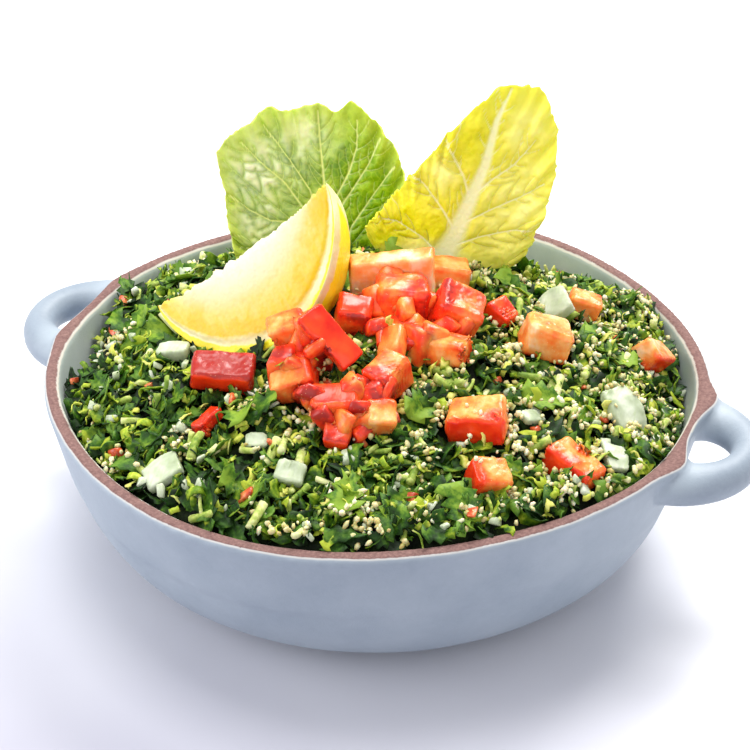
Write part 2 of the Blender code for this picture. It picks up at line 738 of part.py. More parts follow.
def main():
    clear_scene()
    dish = new_collection("tabbouleh_bowl")
    spaces = new_collection("topping_spaces")
    make_bowl(dish)
    taken = make_toppings(dish, spaces)
    make_salad(dish, spaces, taken)
    empty_collection(spaces)


main()
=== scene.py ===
# Tabbouleh in a two-handled stoneware bowl, with a lemon wedge and two lettuce leaves.
# Shapes are modelled in millimetres and brought to metres when each piece is finished.
import math
import random

import bmesh
import bpy
import numpy as np
from mathutils import Euler, Matrix, Vector, noise
from mathutils.bvhtree import BVHTree


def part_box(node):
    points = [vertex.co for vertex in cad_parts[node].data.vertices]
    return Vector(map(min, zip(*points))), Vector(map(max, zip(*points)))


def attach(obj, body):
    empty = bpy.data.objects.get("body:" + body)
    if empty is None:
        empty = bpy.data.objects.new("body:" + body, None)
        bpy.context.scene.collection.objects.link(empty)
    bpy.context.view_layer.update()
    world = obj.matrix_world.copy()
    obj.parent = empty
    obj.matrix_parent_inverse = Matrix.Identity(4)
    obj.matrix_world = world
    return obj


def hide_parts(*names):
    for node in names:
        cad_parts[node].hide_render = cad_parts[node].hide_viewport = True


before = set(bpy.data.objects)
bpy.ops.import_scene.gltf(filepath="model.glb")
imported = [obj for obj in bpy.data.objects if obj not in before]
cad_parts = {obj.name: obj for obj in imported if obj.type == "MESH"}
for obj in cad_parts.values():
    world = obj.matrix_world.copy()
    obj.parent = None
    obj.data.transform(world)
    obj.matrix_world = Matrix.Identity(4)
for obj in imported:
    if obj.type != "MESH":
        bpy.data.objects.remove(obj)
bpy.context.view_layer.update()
mm = 0.001      # a millimetre in metres


def smooth(value):
    value = min(max(value, 0.0), 1.0)
    return value * value * (3 - 2 * value)


def bump(distance, spread):
    return math.exp(-(distance / spread) ** 2)


def bezier(corners, t):
    s = 1 - t
    weights = (s ** 3, 3 * s * s * t, 3 * s * t * t, t ** 3)
    return tuple(sum(w * c[i] for w, c in zip(weights, corners)) for i in (0, 1))


# Degrees from a heading to an angle in radians, -180 to 180
def turnFrom(degrees, angle):
    return (math.degrees(angle) - degrees + 180) % 360 - 180


def newObject(name, mesh, material):
    piece = bpy.data.objects.new(name, mesh)
    mesh.materials.clear()
    mesh.materials.append(material)
    bpy.context.scene.collection.objects.link(piece)
    return piece


def faceOut(bm):
    bmesh.ops.recalc_face_normals(bm, faces=bm.faces[:])


def transform(bm, matrix):
    bmesh.ops.transform(bm, matrix=matrix, verts=bm.verts[:])


# Turns millimetres into metres and makes the object
def fromBmesh(name, bm, material):
    bmesh.ops.scale(bm, vec=(mm, mm, mm), verts=bm.verts[:])
    mesh = bpy.data.meshes.new(name)
    bm.to_mesh(mesh)
    bm.free()
    mesh.shade_smooth()
    return newObject(name, mesh, material)


# Gives the piece its evaluated mesh and drops its modifiers
def settle(piece):
    graph = bpy.context.evaluated_depsgraph_get()
    mesh = bpy.data.meshes.new_from_object(piece.evaluated_get(graph))
    old = piece.data
    piece.modifiers.clear()
    piece.data = mesh
    mesh.name = piece.name
    bpy.data.meshes.remove(old)


def modify(piece, kind, **settings):
    made = piece.modifiers.new(kind.title(), kind)
    for key, value in settings.items():
        setattr(made, key, value)


# Gives the piece a fine even skin, a little softened
def evenSkin(piece, voxel, rounds):
    modify(piece, 'REMESH', mode='VOXEL', voxel_size=voxel * mm, use_smooth_shade=True)
    modify(piece, 'SMOOTH', factor=0.5, iterations=rounds)
    settle(piece)


# Keeps numbers for each point, which a material reads by name
def paintPoints(piece, marks):
    for name, values in marks.items():
        layer = piece.data.attributes.new(name, 'FLOAT', 'POINT')
        layer.data.foreach_set("value", np.asarray(values, np.float32))


def dress(piece, slot, *nodes):
    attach(piece, "root")
    if nodes:
        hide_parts(*nodes)
    return piece


# A colour as a picture gives it, 0 to 255, made linear
def tint(red, green, blue):
    def linear(value):
        value = value / 255
        return value / 12.92 if value <= 0.04045 else ((value + 0.055) / 1.055) ** 2.4
    return (linear(red), linear(green), linear(blue), 1.0)


# A plain colour made linear, or a socket as it is
def asColour(value):
    return tint(*value) if isinstance(value, tuple) else value


# Gives a node's inputs their values, or links them
def feed(tree, node, given):
    for key, value in given.items():
        socket = node.inputs[key]
        if isinstance(value, bpy.types.NodeSocket):
            tree.links.new(value, socket)
        else:
            socket.default_value = value


def put(tree, kind, given=None, **settings):
    made = tree.nodes.new("ShaderNode" + kind)
    for key, value in settings.items():
        setattr(made, key, value)
    feed(tree, made, given or {})
    return made


def startMaterial(name):
    material = bpy.data.materials.new(name)
    material.use_nodes = True
    tree = material.node_tree
    place = put(tree, "TexCoord").outputs["Object"]
    inMillimetres = put(tree, "VectorMath", {0: place, "Scale": 1000.0}, operation='SCALE').outputs[0]
    return material, tree, tree.nodes["Principled BSDF"], inMillimetres


def blend(tree, factor, first, second):
    given = {0: factor, 6: asColour(first), 7: asColour(second)}
    return put(tree, "Mix", given, data_type='RGBA').outputs[2]


def reckon(tree, operation, first, second):
    return put(tree, "Math", {0: first, 1: second}, operation=operation).outputs[0]


# Stops are (place, red, green, blue)
def ramp(tree, factor, *stops):
    made = put(tree, "ValToRGB", {"Fac": factor})
    elements = made.color_ramp.elements
    for element, (place, *colour) in zip(elements, (stops[0], stops[-1])):
        element.position = place
        element.color = tint(*colour)
    for place, *colour in stops[1:-1]:
        elements.new(place).color = tint(*colour)
    return made.outputs["Color"]


def spread(tree, value, low, high, toLow=0.0, toHigh=1.0):
    given = {"Value": value, "From Min": low, "From Max": high, "To Min": toLow, "To Max": toHigh}
    return put(tree, "MapRange", given).outputs["Result"]


def grainOf(tree, place, scale, detail=3.0, roughness=0.55):
    given = {"Vector": place, "Scale": scale, "Detail": detail, "Roughness": roughness}
    return put(tree, "TexNoise", given).outputs["Fac"]


def reading(tree, name):
    return put(tree, "Attribute", attribute_name=name).outputs["Fac"]


def stretched(tree, place, *scale):
    return put(tree, "Mapping", {"Vector": place, "Scale": scale}).outputs[0]


def cells(tree, place, scale, **settings):
    return put(tree, "TexVoronoi", {"Vector": place, "Scale": scale}, **settings).outputs["Distance"]


# How much light goes in, how far each colour of it goes, and that distance in metres
def lightWithin(share, reach, distance):
    return {"Subsurface Weight": share, "Subsurface Radius": reach, "Subsurface Scale": distance}


def relief(tree, shader, height, distance, strength=1.0):
    made = put(tree, "Bump", {"Height": height, "Strength": strength, "Distance": distance})
    tree.links.new(made.outputs["Normal"], shader.inputs["Normal"])


view = {
    "place": (0.17532, -0.50464, 0.38268),
    "turn": (58.247, 0.316, 19.003),      # degrees
    "lens": 100, "sensor": 36,
}

light = {
    "sky": 0.62, "aim": (0, 0, 0.05),
    # name: place (m), size (m), watts, colour
    "lamps": {
        "backLight": ((0.1, 0.8, 0.95), 0.6, 16.5, (1.0, 0.98, 0.94)),
        "topLight": ((-0.15, 0.05, 1.2), 0.5, 8, (1.0, 0.99, 0.96)),
        "leftFill": ((-1.1, -0.5, 0.5), 0.9, 10, (0.97, 0.98, 1.0)),
        "frontFill": ((0.5, -1.1, 0.75), 1.3, 5, (0.98, 0.98, 1.0)),
    },
}

floorSizes = {"half": 3000, "paleFrom": 40, "paintedShadeFrom": -230}


def setCamera():
    camera = bpy.data.objects.new("camera", bpy.data.cameras.new("camera"))
    bpy.context.scene.collection.objects.link(camera)
    camera.data.lens = view["lens"]
    camera.data.sensor_width = view["sensor"]
    camera.data.sensor_fit = 'HORIZONTAL'
    camera.location = view["place"]
    camera.rotation_euler = [math.radians(angle) for angle in view["turn"]]
    bpy.context.scene.camera = camera


def setLight():
    world = bpy.data.worlds.new("studio")
    bpy.context.scene.world = world
    world.use_nodes = True
    sky = {"Color": (1.0, 1.0, 1.0, 1), "Strength": light["sky"]}
    feed(world.node_tree, world.node_tree.nodes["Background"], sky)
    bpy.context.scene.view_settings.view_transform = 'Standard'
    for name, (place, size, watts, colour) in light["lamps"].items():
        lamp = bpy.data.objects.new(name, bpy.data.lights.new(name, 'AREA'))
        bpy.context.scene.collection.objects.link(lamp)
        lamp.data.size = size
        lamp.data.energy = watts
        lamp.data.color = colour
        lamp.location = place
        lamp.rotation_euler = (Vector(light["aim"]) - Vector(place)).to_track_quat('-Z', 'Y').to_euler()


def setFloor():
    material, tree, shader, place = startMaterial("paleFloor")
    cloud = grainOf(tree, place, 0.006, 4.0)
    nearness = put(tree, "SeparateXYZ", {0: place}).outputs["Y"]
    pale = ramp(tree, cloud, (0.35, 238, 239, 247), (0.65, 247, 248, 252))
    # painted shade: towards the camera the floor turns a darker lilac grey, where less light reaches it
    paintedShadeLilac = ramp(tree, cloud, (0.35, 136, 134, 158), (0.65, 147, 145, 168))
    isNear = spread(tree, nearness, floorSizes["paleFrom"], floorSizes["paintedShadeFrom"])
    feed(tree, shader, {"Base Color": blend(tree, isNear, pale, paintedShadeLilac), "Roughness": 0.6})
    bm = bmesh.new()
    bmesh.ops.create_grid(bm, x_segments=1, y_segments=1, size=floorSizes["half"])
    fromBmesh("floor", bm, material)


setCamera()
setLight()
setFloor()
print("camera, light and floor set")


bowlSizes = {
    "rimRadius": 100, "rimHeight": 56, "rimWidth": 5, "rimEdge": 0.9, "rimNotch": 0.9,
    "floor": 5.5, "floorRadius": 40, "footRadius": 47, "footRing": 7, "footRecess": 1.2,
    "stepHeight": 34, "step": 0.45, "wobble": 1.3,
    "flare": 3.0, "flareAngle": 10.6, "flareSpread": 4.4, "flareFrom": 46, "notchSpread": 6,
    "drawnIn": 0.9, "drawnInSpread": 25, "calmSpread": 16, "leftShare": 0.4,
    "turns": 240, "rings": 34, "insideRings": (6.2, 54.8), "outsideRings": (1, 54.6),
    "voxel": 1.3, "softening": 5,
    "keptWall": 0.5, "handleBlend": 0.8,      # how far from the turned wall a point keeps to it
    "unevenness": 0.22, "frontRise": 1.4, "frontSpread": 55, "frontFrom": 34,
}

heapSizes = {
    "crest": 77, "edge": 49.5, "edgeSwing": 3.8, "shownSide": -71, "radius": 93, "wallGap": 0.7,
    "waves": (1.3, 0.9),
    # x, y, spread, rise
    "lumps": ((20, 76, 30, -6.5), (64, 58, 15, 3.5), (-86, 24, 9, 2.5), (-40, -12, 20, -3),
              (-8, -35, 11, 3.5), (2, -12, 12, 2.5), (5, -36, 6, 2.5), (-88, 12, 8, 4)),
    # angle, depth, spread
    "gaps": ((-171, 9, 7), (8, 8, 10)),
    "coreDrop": 3.2, "coreRings": 62, "coreTurns": 170, "coreCrumb": 0.9,
    "coreSides": (33, 24, 18, 13, 9.5, 7),
    "rough": 3.0, "roughScales": (7, 15), "rimRise": 3.6, "rimRiseSpread": 62,
    # where the wall shows: angle, half width, beyond which radius
    "openWall": ((-168, 9, 86), (178, 7, 92)),
}

handleSizes = {
    "turn": -3.1, "reach": 113.6, "height": 48.6, "halfHeight": 5.6, "halfWidth": 4.8,
    "rootHalfWidth": 9.5, "rootAngle": 10.6, "rootDepth": 3.8, "rootRun": 8, "bow": 12,
    "stations": 16, "sides": 24,
}

outsideCurve = ((bowlSizes["footRadius"], 0), (91, 3.4), (92.6, 24.2),
                (bowlSizes["rimRadius"], bowlSizes["rimHeight"]))
insideCurve = ((bowlSizes["floorRadius"], bowlSizes["floor"]), (84.5, 8.5), (88, 26),
               (bowlSizes["rimRadius"] - bowlSizes["rimWidth"], bowlSizes["rimHeight"]))


def radiusOn(corners, height):
    low, high = 0.0, 1.0
    for _ in range(30):
        t = (low + high) / 2
        if bezier(corners, t)[1] < height:
            low = t
        else:
            high = t
    return bezier(corners, low)[0]


def outerWall(height):
    size = bowlSizes
    step = size["step"] * smooth((size["stepHeight"] - height) / 1.5 + 0.5)
    return radiusOn(outsideCurve, height) - step * smooth(height / 10)


def innerWall(height):
    return radiusOn(insideCurve, height)


# Degrees from the nearer handle
def handleSide(angle):
    angle -= math.radians(handleSizes["turn"])
    return math.degrees(abs((angle + math.pi / 2) % math.pi - math.pi / 2))


def wobble(angle, height):
    calm = 1 - bump(handleSide(angle), bowlSizes["calmSpread"])
    return bowlSizes["wobble"] * math.cos(4 * angle) * calm * smooth(height / bowlSizes["rimHeight"])


def innerReach(x, y, height):
    height = min(height, bowlSizes["rimHeight"])
    return innerWall(height) + wobble(math.atan2(y, x), height)


# The outer edge draws in at a handle's middle and flares at its roots
def rimShift(angle, height):
    size = bowlSizes
    side = handleSide(angle)
    share = 1 if math.cos(angle) > 0 else size["leftShare"]
    notch = size["rimNotch"] * share * bump(side, size["notchSpread"])
    drawnIn = size["drawnIn"] * share * bump(side, size["drawnInSpread"])
    flare = size["flare"] * share * bump(side - size["flareAngle"], size["flareSpread"])
    plain = wobble(angle, height) - (notch + drawnIn) * smooth(height / size["rimHeight"])
    return plain + flare * smooth((height - size["flareFrom"]) / 8)


def bowlProfile():
    size = bowlSizes
    rings = size["rings"]
    low, high = size["insideRings"]
    inside = [low + (high - low) * k / rings for k in range(rings + 1)]
    low, high = size["outsideRings"]
    outside = [high - (high - low) * k / rings for k in range(rings + 1)]
    points = [(size["floorRadius"] * share, size["floor"]) for share in (0, 0.5, 1)]
    points += [(innerWall(z), z) for z in inside]
    points += [(size["rimRadius"] - size["rimWidth"] + size["rimEdge"], size["rimHeight"]),
               (size["rimRadius"] - 1.3 * size["rimEdge"], size["rimHeight"])]
    points += [(outerWall(z), z) for z in outside]
    ringInside = size["footRadius"] - size["footRing"]
    return points + [(size["footRadius"], 0), (ringInside, 0),
                     (ringInside - size["footRecess"], size["footRecess"]), (0, size["footRecess"])]


# Spins a profile about Z into a closed body
def turnProfile(points, turns):
    bm = bmesh.new()
    line = [bm.verts.new((radius, 0, z)) for radius, z in points]
    edges = [bm.edges.new(pair) for pair in zip(line, line[1:])]
    bmesh.ops.spin(bm, geom=line + edges, cent=(0, 0, 0), axis=(0, 0, 1),
                   angle=math.tau, steps=turns, use_merge=True)
    bmesh.ops.remove_doubles(bm, verts=bm.verts[:], dist=0.001)
    faceOut(bm)
    return bm


def turnBowl():
    size = bowlSizes
    bm = turnProfile(bowlProfile(), size["turns"])
    for vert in bm.verts:
        radius = math.hypot(vert.co.x, vert.co.y)
        if radius < size["footRadius"] + 1 and vert.co.z < size["floor"]:
            continue
        angle = math.atan2(vert.co.y, vert.co.x)
        isInside = radius < outerWall(vert.co.z) - size["rimWidth"] / 2
        shift = wobble(angle, vert.co.z) if isInside else rimShift(angle, vert.co.z)
        if radius > 0:
            vert.co.xy *= (radius + shift) / radius
    return bm


# An oval strap, bent into a loop, as rings bridged one to the next
def addStrap(bm, side):
    size = handleSizes
    angle = math.radians(size["rootAngle"])
    root = bowlSizes["rimRadius"] - size["rootDepth"]
    corners = [(reach * math.cos(angle), reach * math.sin(angle)) for reach in (root, root + size["rootRun"])]
    corners += [(size["reach"], size["bow"]), (size["reach"], 0)]
    half = []
    for k in range(size["stations"]):
        t = k / (size["stations"] - 1)
        x, y = bezier(corners, t)
        width = size["halfWidth"] + (size["rootHalfWidth"] - size["halfWidth"]) * (1 - t) ** 2
        half.append(Vector((x, y, width)))
    stations = half + [Vector((at.x, -at.y, at.z)) for at in reversed(half[:-1])]
    rings = []
    for k, here in enumerate(stations):
        ahead = stations[min(k + 1, len(stations) - 1)] - stations[max(k - 1, 0)]
        heading = Matrix.Rotation(math.atan2(ahead.y, ahead.x), 4, 'Z')
        upright = heading @ Matrix.Rotation(math.pi / 2, 4, 'Y')
        shape = Matrix.Diagonal((size["halfHeight"], here.z, 1, 1))
        place = Matrix.Rotation(side, 4, 'Z') @ Matrix.Translation((here.x, here.y, size["height"]))
        made = bmesh.ops.create_circle(bm, segments=size["sides"], radius=1, matrix=place @ upright @ shape)
        rings.append(made["verts"])
    for first, second in zip(rings, rings[1:]):
        both = set(first) | set(second)
        edges = {e for v in both for e in v.link_edges
                 if set(e.verts) <= set(first) or set(e.verts) <= set(second)}
        bmesh.ops.bridge_loops(bm, edges=list(edges))
    ends = [e for ring in (rings[0], rings[-1]) for v in ring for e in v.link_edges if e.is_boundary]
    bmesh.ops.holes_fill(bm, edges=list(set(ends)))


def makeBowl(material):
    size = bowlSizes
    turned = turnBowl()
    wall = BVHTree.FromBMesh(turned)
    bowl = fromBmesh("stonewareBowl", turned, material)
    straps = bmesh.new()
    for half in (0, math.pi):
        addStrap(straps, math.radians(handleSizes["turn"]) + half)
    faceOut(straps)
    handles = fromBmesh("handleStraps", straps, material)
    modify(bowl, 'BOOLEAN', operation='UNION', solver='MANIFOLD', object=handles)
    evenSkin(bowl, size["voxel"], size["softening"])
    bpy.data.objects.remove(handles, do_unlink=True)
    marks = {"inside": [], "level": [], "fromOutside": []}
    for vert in bowl.data.vertices:
        near, _, _, away = wall.find_nearest(vert.co / mm, 3)
        if near is not None:
            vert.co = vert.co.lerp(near * mm, 1 - smooth((away - size["keptWall"]) / size["handleBlend"]))
        x, y, z = (value / mm for value in vert.co)
        radius = math.hypot(x, y)
        angle = math.atan2(y, x)
        isInside = radius < innerReach(x, y, z) + size["rimWidth"] / 2 and z > size["floor"] - 2
        marks["inside"].append(1.0 if isInside else 0.0)
        marks["level"].append(z)
        marks["fromOutside"].append(outerWall(z) + rimShift(angle, z) - radius)
        rise = size["frontRise"] * bump(turnFrom(heapSizes["shownSide"], angle), size["frontSpread"])
        vert.co.z += rise * smooth((z - size["frontFrom"]) / 22) * mm * (radius > 60)
        hump = noise.noise(Vector((x, y, 1.6 * z)) / 22) * size["unevenness"]
        if radius > 0 and z > 3:
            vert.co.x += hump * mm * x / radius
            vert.co.y += hump * mm * y / radius
    paintPoints(bowl, marks)
    return dress(bowl, "stoneware", "bowl")


def stonewareGlaze():
    material, tree, shader, place = startMaterial("stonewareGlaze")
    height = reading(tree, "level")
    cloud = grainOf(tree, place, 0.045, 4.0)
    mottle = grainOf(tree, place, 0.5, 5.0, 0.7)
    speck = grainOf(tree, place, 1.9, 2.0)
    fineClay = grainOf(tree, place, 1.1, 3.0, 0.65)
    wander = spread(tree, grainOf(tree, place, 0.12, 2.0), 0.3, 0.7, -0.14, 0.14)
    isWithin = reading(tree, "inside")
    fromOutside = reading(tree, "fromOutside")
    outside = ramp(tree, cloud, (0.3, 146, 158, 171), (0.7, 162, 173, 184))
    within = ramp(tree, cloud, (0.3, 156, 168, 162), (0.7, 176, 186, 180))
    clay = ramp(tree, fineClay, (0.3, 102, 73, 71), (0.5, 121, 90, 86), (0.7, 140, 108, 101))
    glaze = blend(tree, isWithin, outside, within)
    # painted shade: the glaze on the handles is darkened
    glaze = blend(tree, spread(tree, fromOutside, -2, -9, 0, 0.55), glaze, (122, 134, 150))      # the handles
    glaze = blend(tree, spread(tree, mottle, 0.35, 0.75, 0, 0.16), glaze, (176, 188, 200))
    glaze = blend(tree, spread(tree, speck, 0.66, 0.74, 0, 0.22), glaze, (116, 128, 140))
    # near the rim the glaze turns cream on the inside, ends pale outside, and leaves the clay bare on top
    edge = reckon(tree, 'ADD', height, wander)
    inward = reckon(tree, 'ADD', fromOutside, wander)
    isCream = reckon(tree, 'MULTIPLY', spread(tree, edge, 54.8, 55.1), isWithin)
    bareFrom = reckon(tree, 'SUBTRACT', edge, spread(tree, isWithin, 0, 1, 0, 0.5))
    isBare = reckon(tree, 'MULTIPLY', spread(tree, bareFrom, 54.9, 55.2), spread(tree, inward, 1.0, 1.25))
    isEdge = spread(tree, inward, 0.5, 0.8, 0, 0.7)
    isPale = reckon(tree, 'MULTIPLY', spread(tree, height, 55.0, 55.5), isEdge)
    colour = blend(tree, isCream, glaze, (206, 202, 190))
    colour = blend(tree, isPale, colour, (206, 202, 196))
    colour = blend(tree, isBare, colour, clay)
    colour = blend(tree, spread(tree, height, 0.9, 0.5), colour, clay)      # the foot
    feed(tree, shader, {"Base Color": colour, "Roughness": spread(tree, isBare, 0, 1, 0.5, 0.85),
                        "Specular IOR Level": 0.4})
    relief(tree, shader, reckon(tree, 'ADD', fineClay, speck), 0.0001, 0.5)
    return material


makeBowl(stonewareGlaze())
print("bowl turned, handles joined and glazed")


def heapHeight(x, y):
    size = heapSizes
    angle = math.atan2(y, x)
    radius = math.hypot(x, y)
    edge = size["edge"] + size["edgeSwing"] * math.cos(angle - math.radians(size["shownSide"]))
    inward = min(radius / size["radius"], 1)
    height = edge + (size["crest"] - edge) * (1 - inward * inward) ** 0.85
    for gapAngle, depth, width in size["gaps"]:
        height -= depth * bump(turnFrom(gapAngle, angle), width) * smooth((radius - 76) / 14)
    for lumpX, lumpY, width, rise in size["lumps"]:
        height += rise * bump(math.hypot(x - lumpX, y - lumpY), width)
    long, short = size["waves"]
    height += long * math.sin(0.11 * x + 0.7) * math.cos(0.13 * y - 0.4)
    return height + short * math.sin(0.23 * x - 0.17 * y + 2)


# How far the loose pieces rise and fall over the heap, and rise at the shown rim
def roughness(x, y):
    size = heapSizes
    fine, coarse = size["roughScales"]
    rough = size["rough"] * (noise.noise(Vector((x / fine, y / fine, 9.0)))
                             + noise.noise(Vector((x / coarse, y / coarse, 2.0))))
    shown = bump(turnFrom(size["shownSide"], math.atan2(y, x)), size["rimRiseSpread"])
    return rough + size["rimRise"] * shown * smooth((math.hypot(x, y) - 80) / 12)


# The turn that stands a piece on a slope
def standOn(normal):
    return Vector((0, 0, 1)).rotation_difference(normal).to_matrix()


def heapSlope(x, y):
    step = 4
    east = heapHeight(x + step, y) - heapHeight(x - step, y)
    north = heapHeight(x, y + step) - heapHeight(x, y - step)
    return standOn(Vector((-east, -north, 2 * step)).normalized())


# The dark body of the heap, under the loose pieces
def makeCore(material):
    size = heapSizes
    onTop = 100      # marks the points that take the heap's height
    rings = size["coreRings"]
    points = [(size["radius"] * math.sqrt(k / rings), onTop) for k in range(rings + 1)]
    points += [(innerWall(z), z) for z in size["coreSides"]]
    points += [(bowlSizes["floorRadius"], bowlSizes["floor"]), (0, bowlSizes["floor"])]
    bm = turnProfile(points, size["coreTurns"])
    for vert in bm.verts:
        x, y = vert.co.xy
        radius = math.hypot(x, y)
        if vert.co.z > onTop - 1:
            crumb = noise.fractal(Vector((x, y, 0)) / 4.5, 0.8, 2.0, 3) * size["coreCrumb"]
            vert.co.z = heapHeight(x, y) + roughness(x, y) - size["coreDrop"] + crumb
        else:
            vert.co.z += size["wallGap"]
        reach = min(radius, innerReach(x, y, vert.co.z) - size["wallGap"])
        if radius > 0:
            vert.co.xy *= reach / radius
    return dress(fromBmesh("saladCore", bm, material), "salad", "salad")


def coreFinish():
    material, tree, shader, place = startMaterial("darkHerbAndShadeCore")
    patch = grainOf(tree, place, 0.28, 4.0)
    # near-black: partly the herbs' own dark green, partly painted shade for the gaps between the loose pieces
    colour = ramp(tree, patch, (0.3, 5, 9, 4), (0.5, 13, 24, 7), (0.68, 34, 50, 14))
    feed(tree, shader, {"Base Color": colour, "Roughness": 0.8, "Specular IOR Level": 0.2})
    relief(tree, shader, patch, 0.0012)
    return material


makeCore(coreFinish())
print("heap made")


toppings = []      # (kind, tree of its surface in millimetres)


def remember(piece, kind):
    bm = bmesh.new()
    bm.from_mesh(piece.data)
    bmesh.ops.scale(bm, vec=(1 / mm, 1 / mm, 1 / mm), verts=bm.verts[:])
    toppings.append((kind, BVHTree.FromBMesh(bm)))
    bm.free()


lemonSizes = {
    "middle": (-38, -11, 95.5), "turn": (43, -39.5, 15.6), "length": 66, "radius": 33, "wedge": 64,
    "along": 110, "across": 40, "peelSteps": 36, "coreSteps": 4,
    "sag": 3.0, "ragged": 1.5, "raggedScale": 2.6, "zest": 1.3, "pith": 3.9,
    "cells": 0.16, "fleshDrop": 0.5, "crumb": 0.35, "peelBumps": 0.22, "tips": 0.06,
}


# Radius of the lemon at u, from -1 at one tip to 1 at the other, and the place along its axis
def lemonBelly(u):
    half, tips = lemonSizes["length"] / 2, lemonSizes["tips"]
    return lemonSizes["radius"] * math.sqrt(max(1 - u * u, 0)), half * (u + tips * u ** 7) / (1 + tips)


def makeLemon(material):
    size = lemonSizes
    wedge = math.radians(size["wedge"])
    bm = bmesh.new()
    peelDepth = bm.verts.layers.float.new("fromPeel")
    fleshU = bm.verts.layers.float.new("alongFlesh")
    fromCut = bm.verts.layers.float.new("fromCut")
    bmesh.ops.create_grid(bm, x_segments=size["along"], y_segments=size["across"], size=0.5)
    sides = {}
    for vert in bm.verts:
        t, v = vert.co.x + 0.5, vert.co.y + 0.5
        u = math.cos(math.pi * (1 - t))
        belly, x = lemonBelly(u)
        torn = noise.fractal(Vector((x / size["raggedScale"], 3, 0)), 0.7, 2.0, 4) * size["ragged"]
        start = min(max(size["sag"] * (1 - u ** 4) + torn, 0.2), belly)
        radius = start + (belly - start) * v
        vert[peelDepth] = belly - radius
        vert[fleshU] = x
        cell = noise.noise(Vector((x / 1.5, radius / 5, 7)))
        flesh = smooth((belly - radius - size["pith"]) / 2)
        lift = size["cells"] * cell * flesh - size["fleshDrop"] * flesh
        crumb = noise.fractal(Vector((x / 2, radius / 2, 2)), 0.8, 2.0, 3)
        lift -= size["crumb"] * crumb * smooth((3.5 - radius + start) / 3)
        lift *= smooth(v / 0.06) * smooth((1 - v) / 0.04)      # the cut meets the peel and the core
        vert.co = Vector((x, -radius, -lift))
        if v < 0.001 or v > 0.999:
            sides.setdefault(v > 0.5, []).append(vert)
    copied = bmesh.ops.duplicate(bm, geom=bm.verts[:] + bm.edges[:] + bm.faces[:])
    otherVerts = [item for item in copied["geom"] if isinstance(item, bmesh.types.BMVert)]
    for vert in otherVerts:
        vert.co.z = -vert.co.z
    bmesh.ops.rotate(bm, cent=(0, 0, 0), matrix=Matrix.Rotation(wedge, 3, 'X'), verts=otherVerts)
    for isPeel, steps in ((True, size["peelSteps"]), (False, size["coreSteps"])):
        line = sides[isPeel]
        edges = [e for e in {e for v in line for e in v.link_edges} if e.is_boundary
                 and e.verts[0] in line and e.verts[1] in line]
        bmesh.ops.spin(bm, geom=line + edges, cent=(0, 0, 0), axis=(1, 0, 0), angle=wedge, steps=steps)
    bmesh.ops.remove_doubles(bm, verts=bm.verts[:], dist=0.06)
    bmesh.ops.holes_fill(bm, edges=[e for e in bm.edges if e.is_boundary])
    faceOut(bm)
    for vert in bm.verts:
        swept = math.atan2(-vert.co.z, -vert.co.y) % math.tau
        vert[fromCut] = math.hypot(vert.co.y, vert.co.z) * min(swept, abs(wedge - swept), math.tau - swept)
        if vert[peelDepth] < 0.02:
            away = Vector((0, vert.co.y, vert.co.z)).normalized()
            vert.co += away * size["peelBumps"] * noise.fractal(vert.co / 3.0, 0.8, 2.0, 3)
    turn = Euler([math.radians(angle) for angle in size["turn"]], 'XYZ').to_matrix().to_4x4()
    transform(bm, Matrix.Translation(Vector(size["middle"])) @ turn)
    lemon = fromBmesh("lemonWedge", bm, material)
    remember(lemon, "lemon")
    return dress(lemon, "lemon", "lemon_wedge")


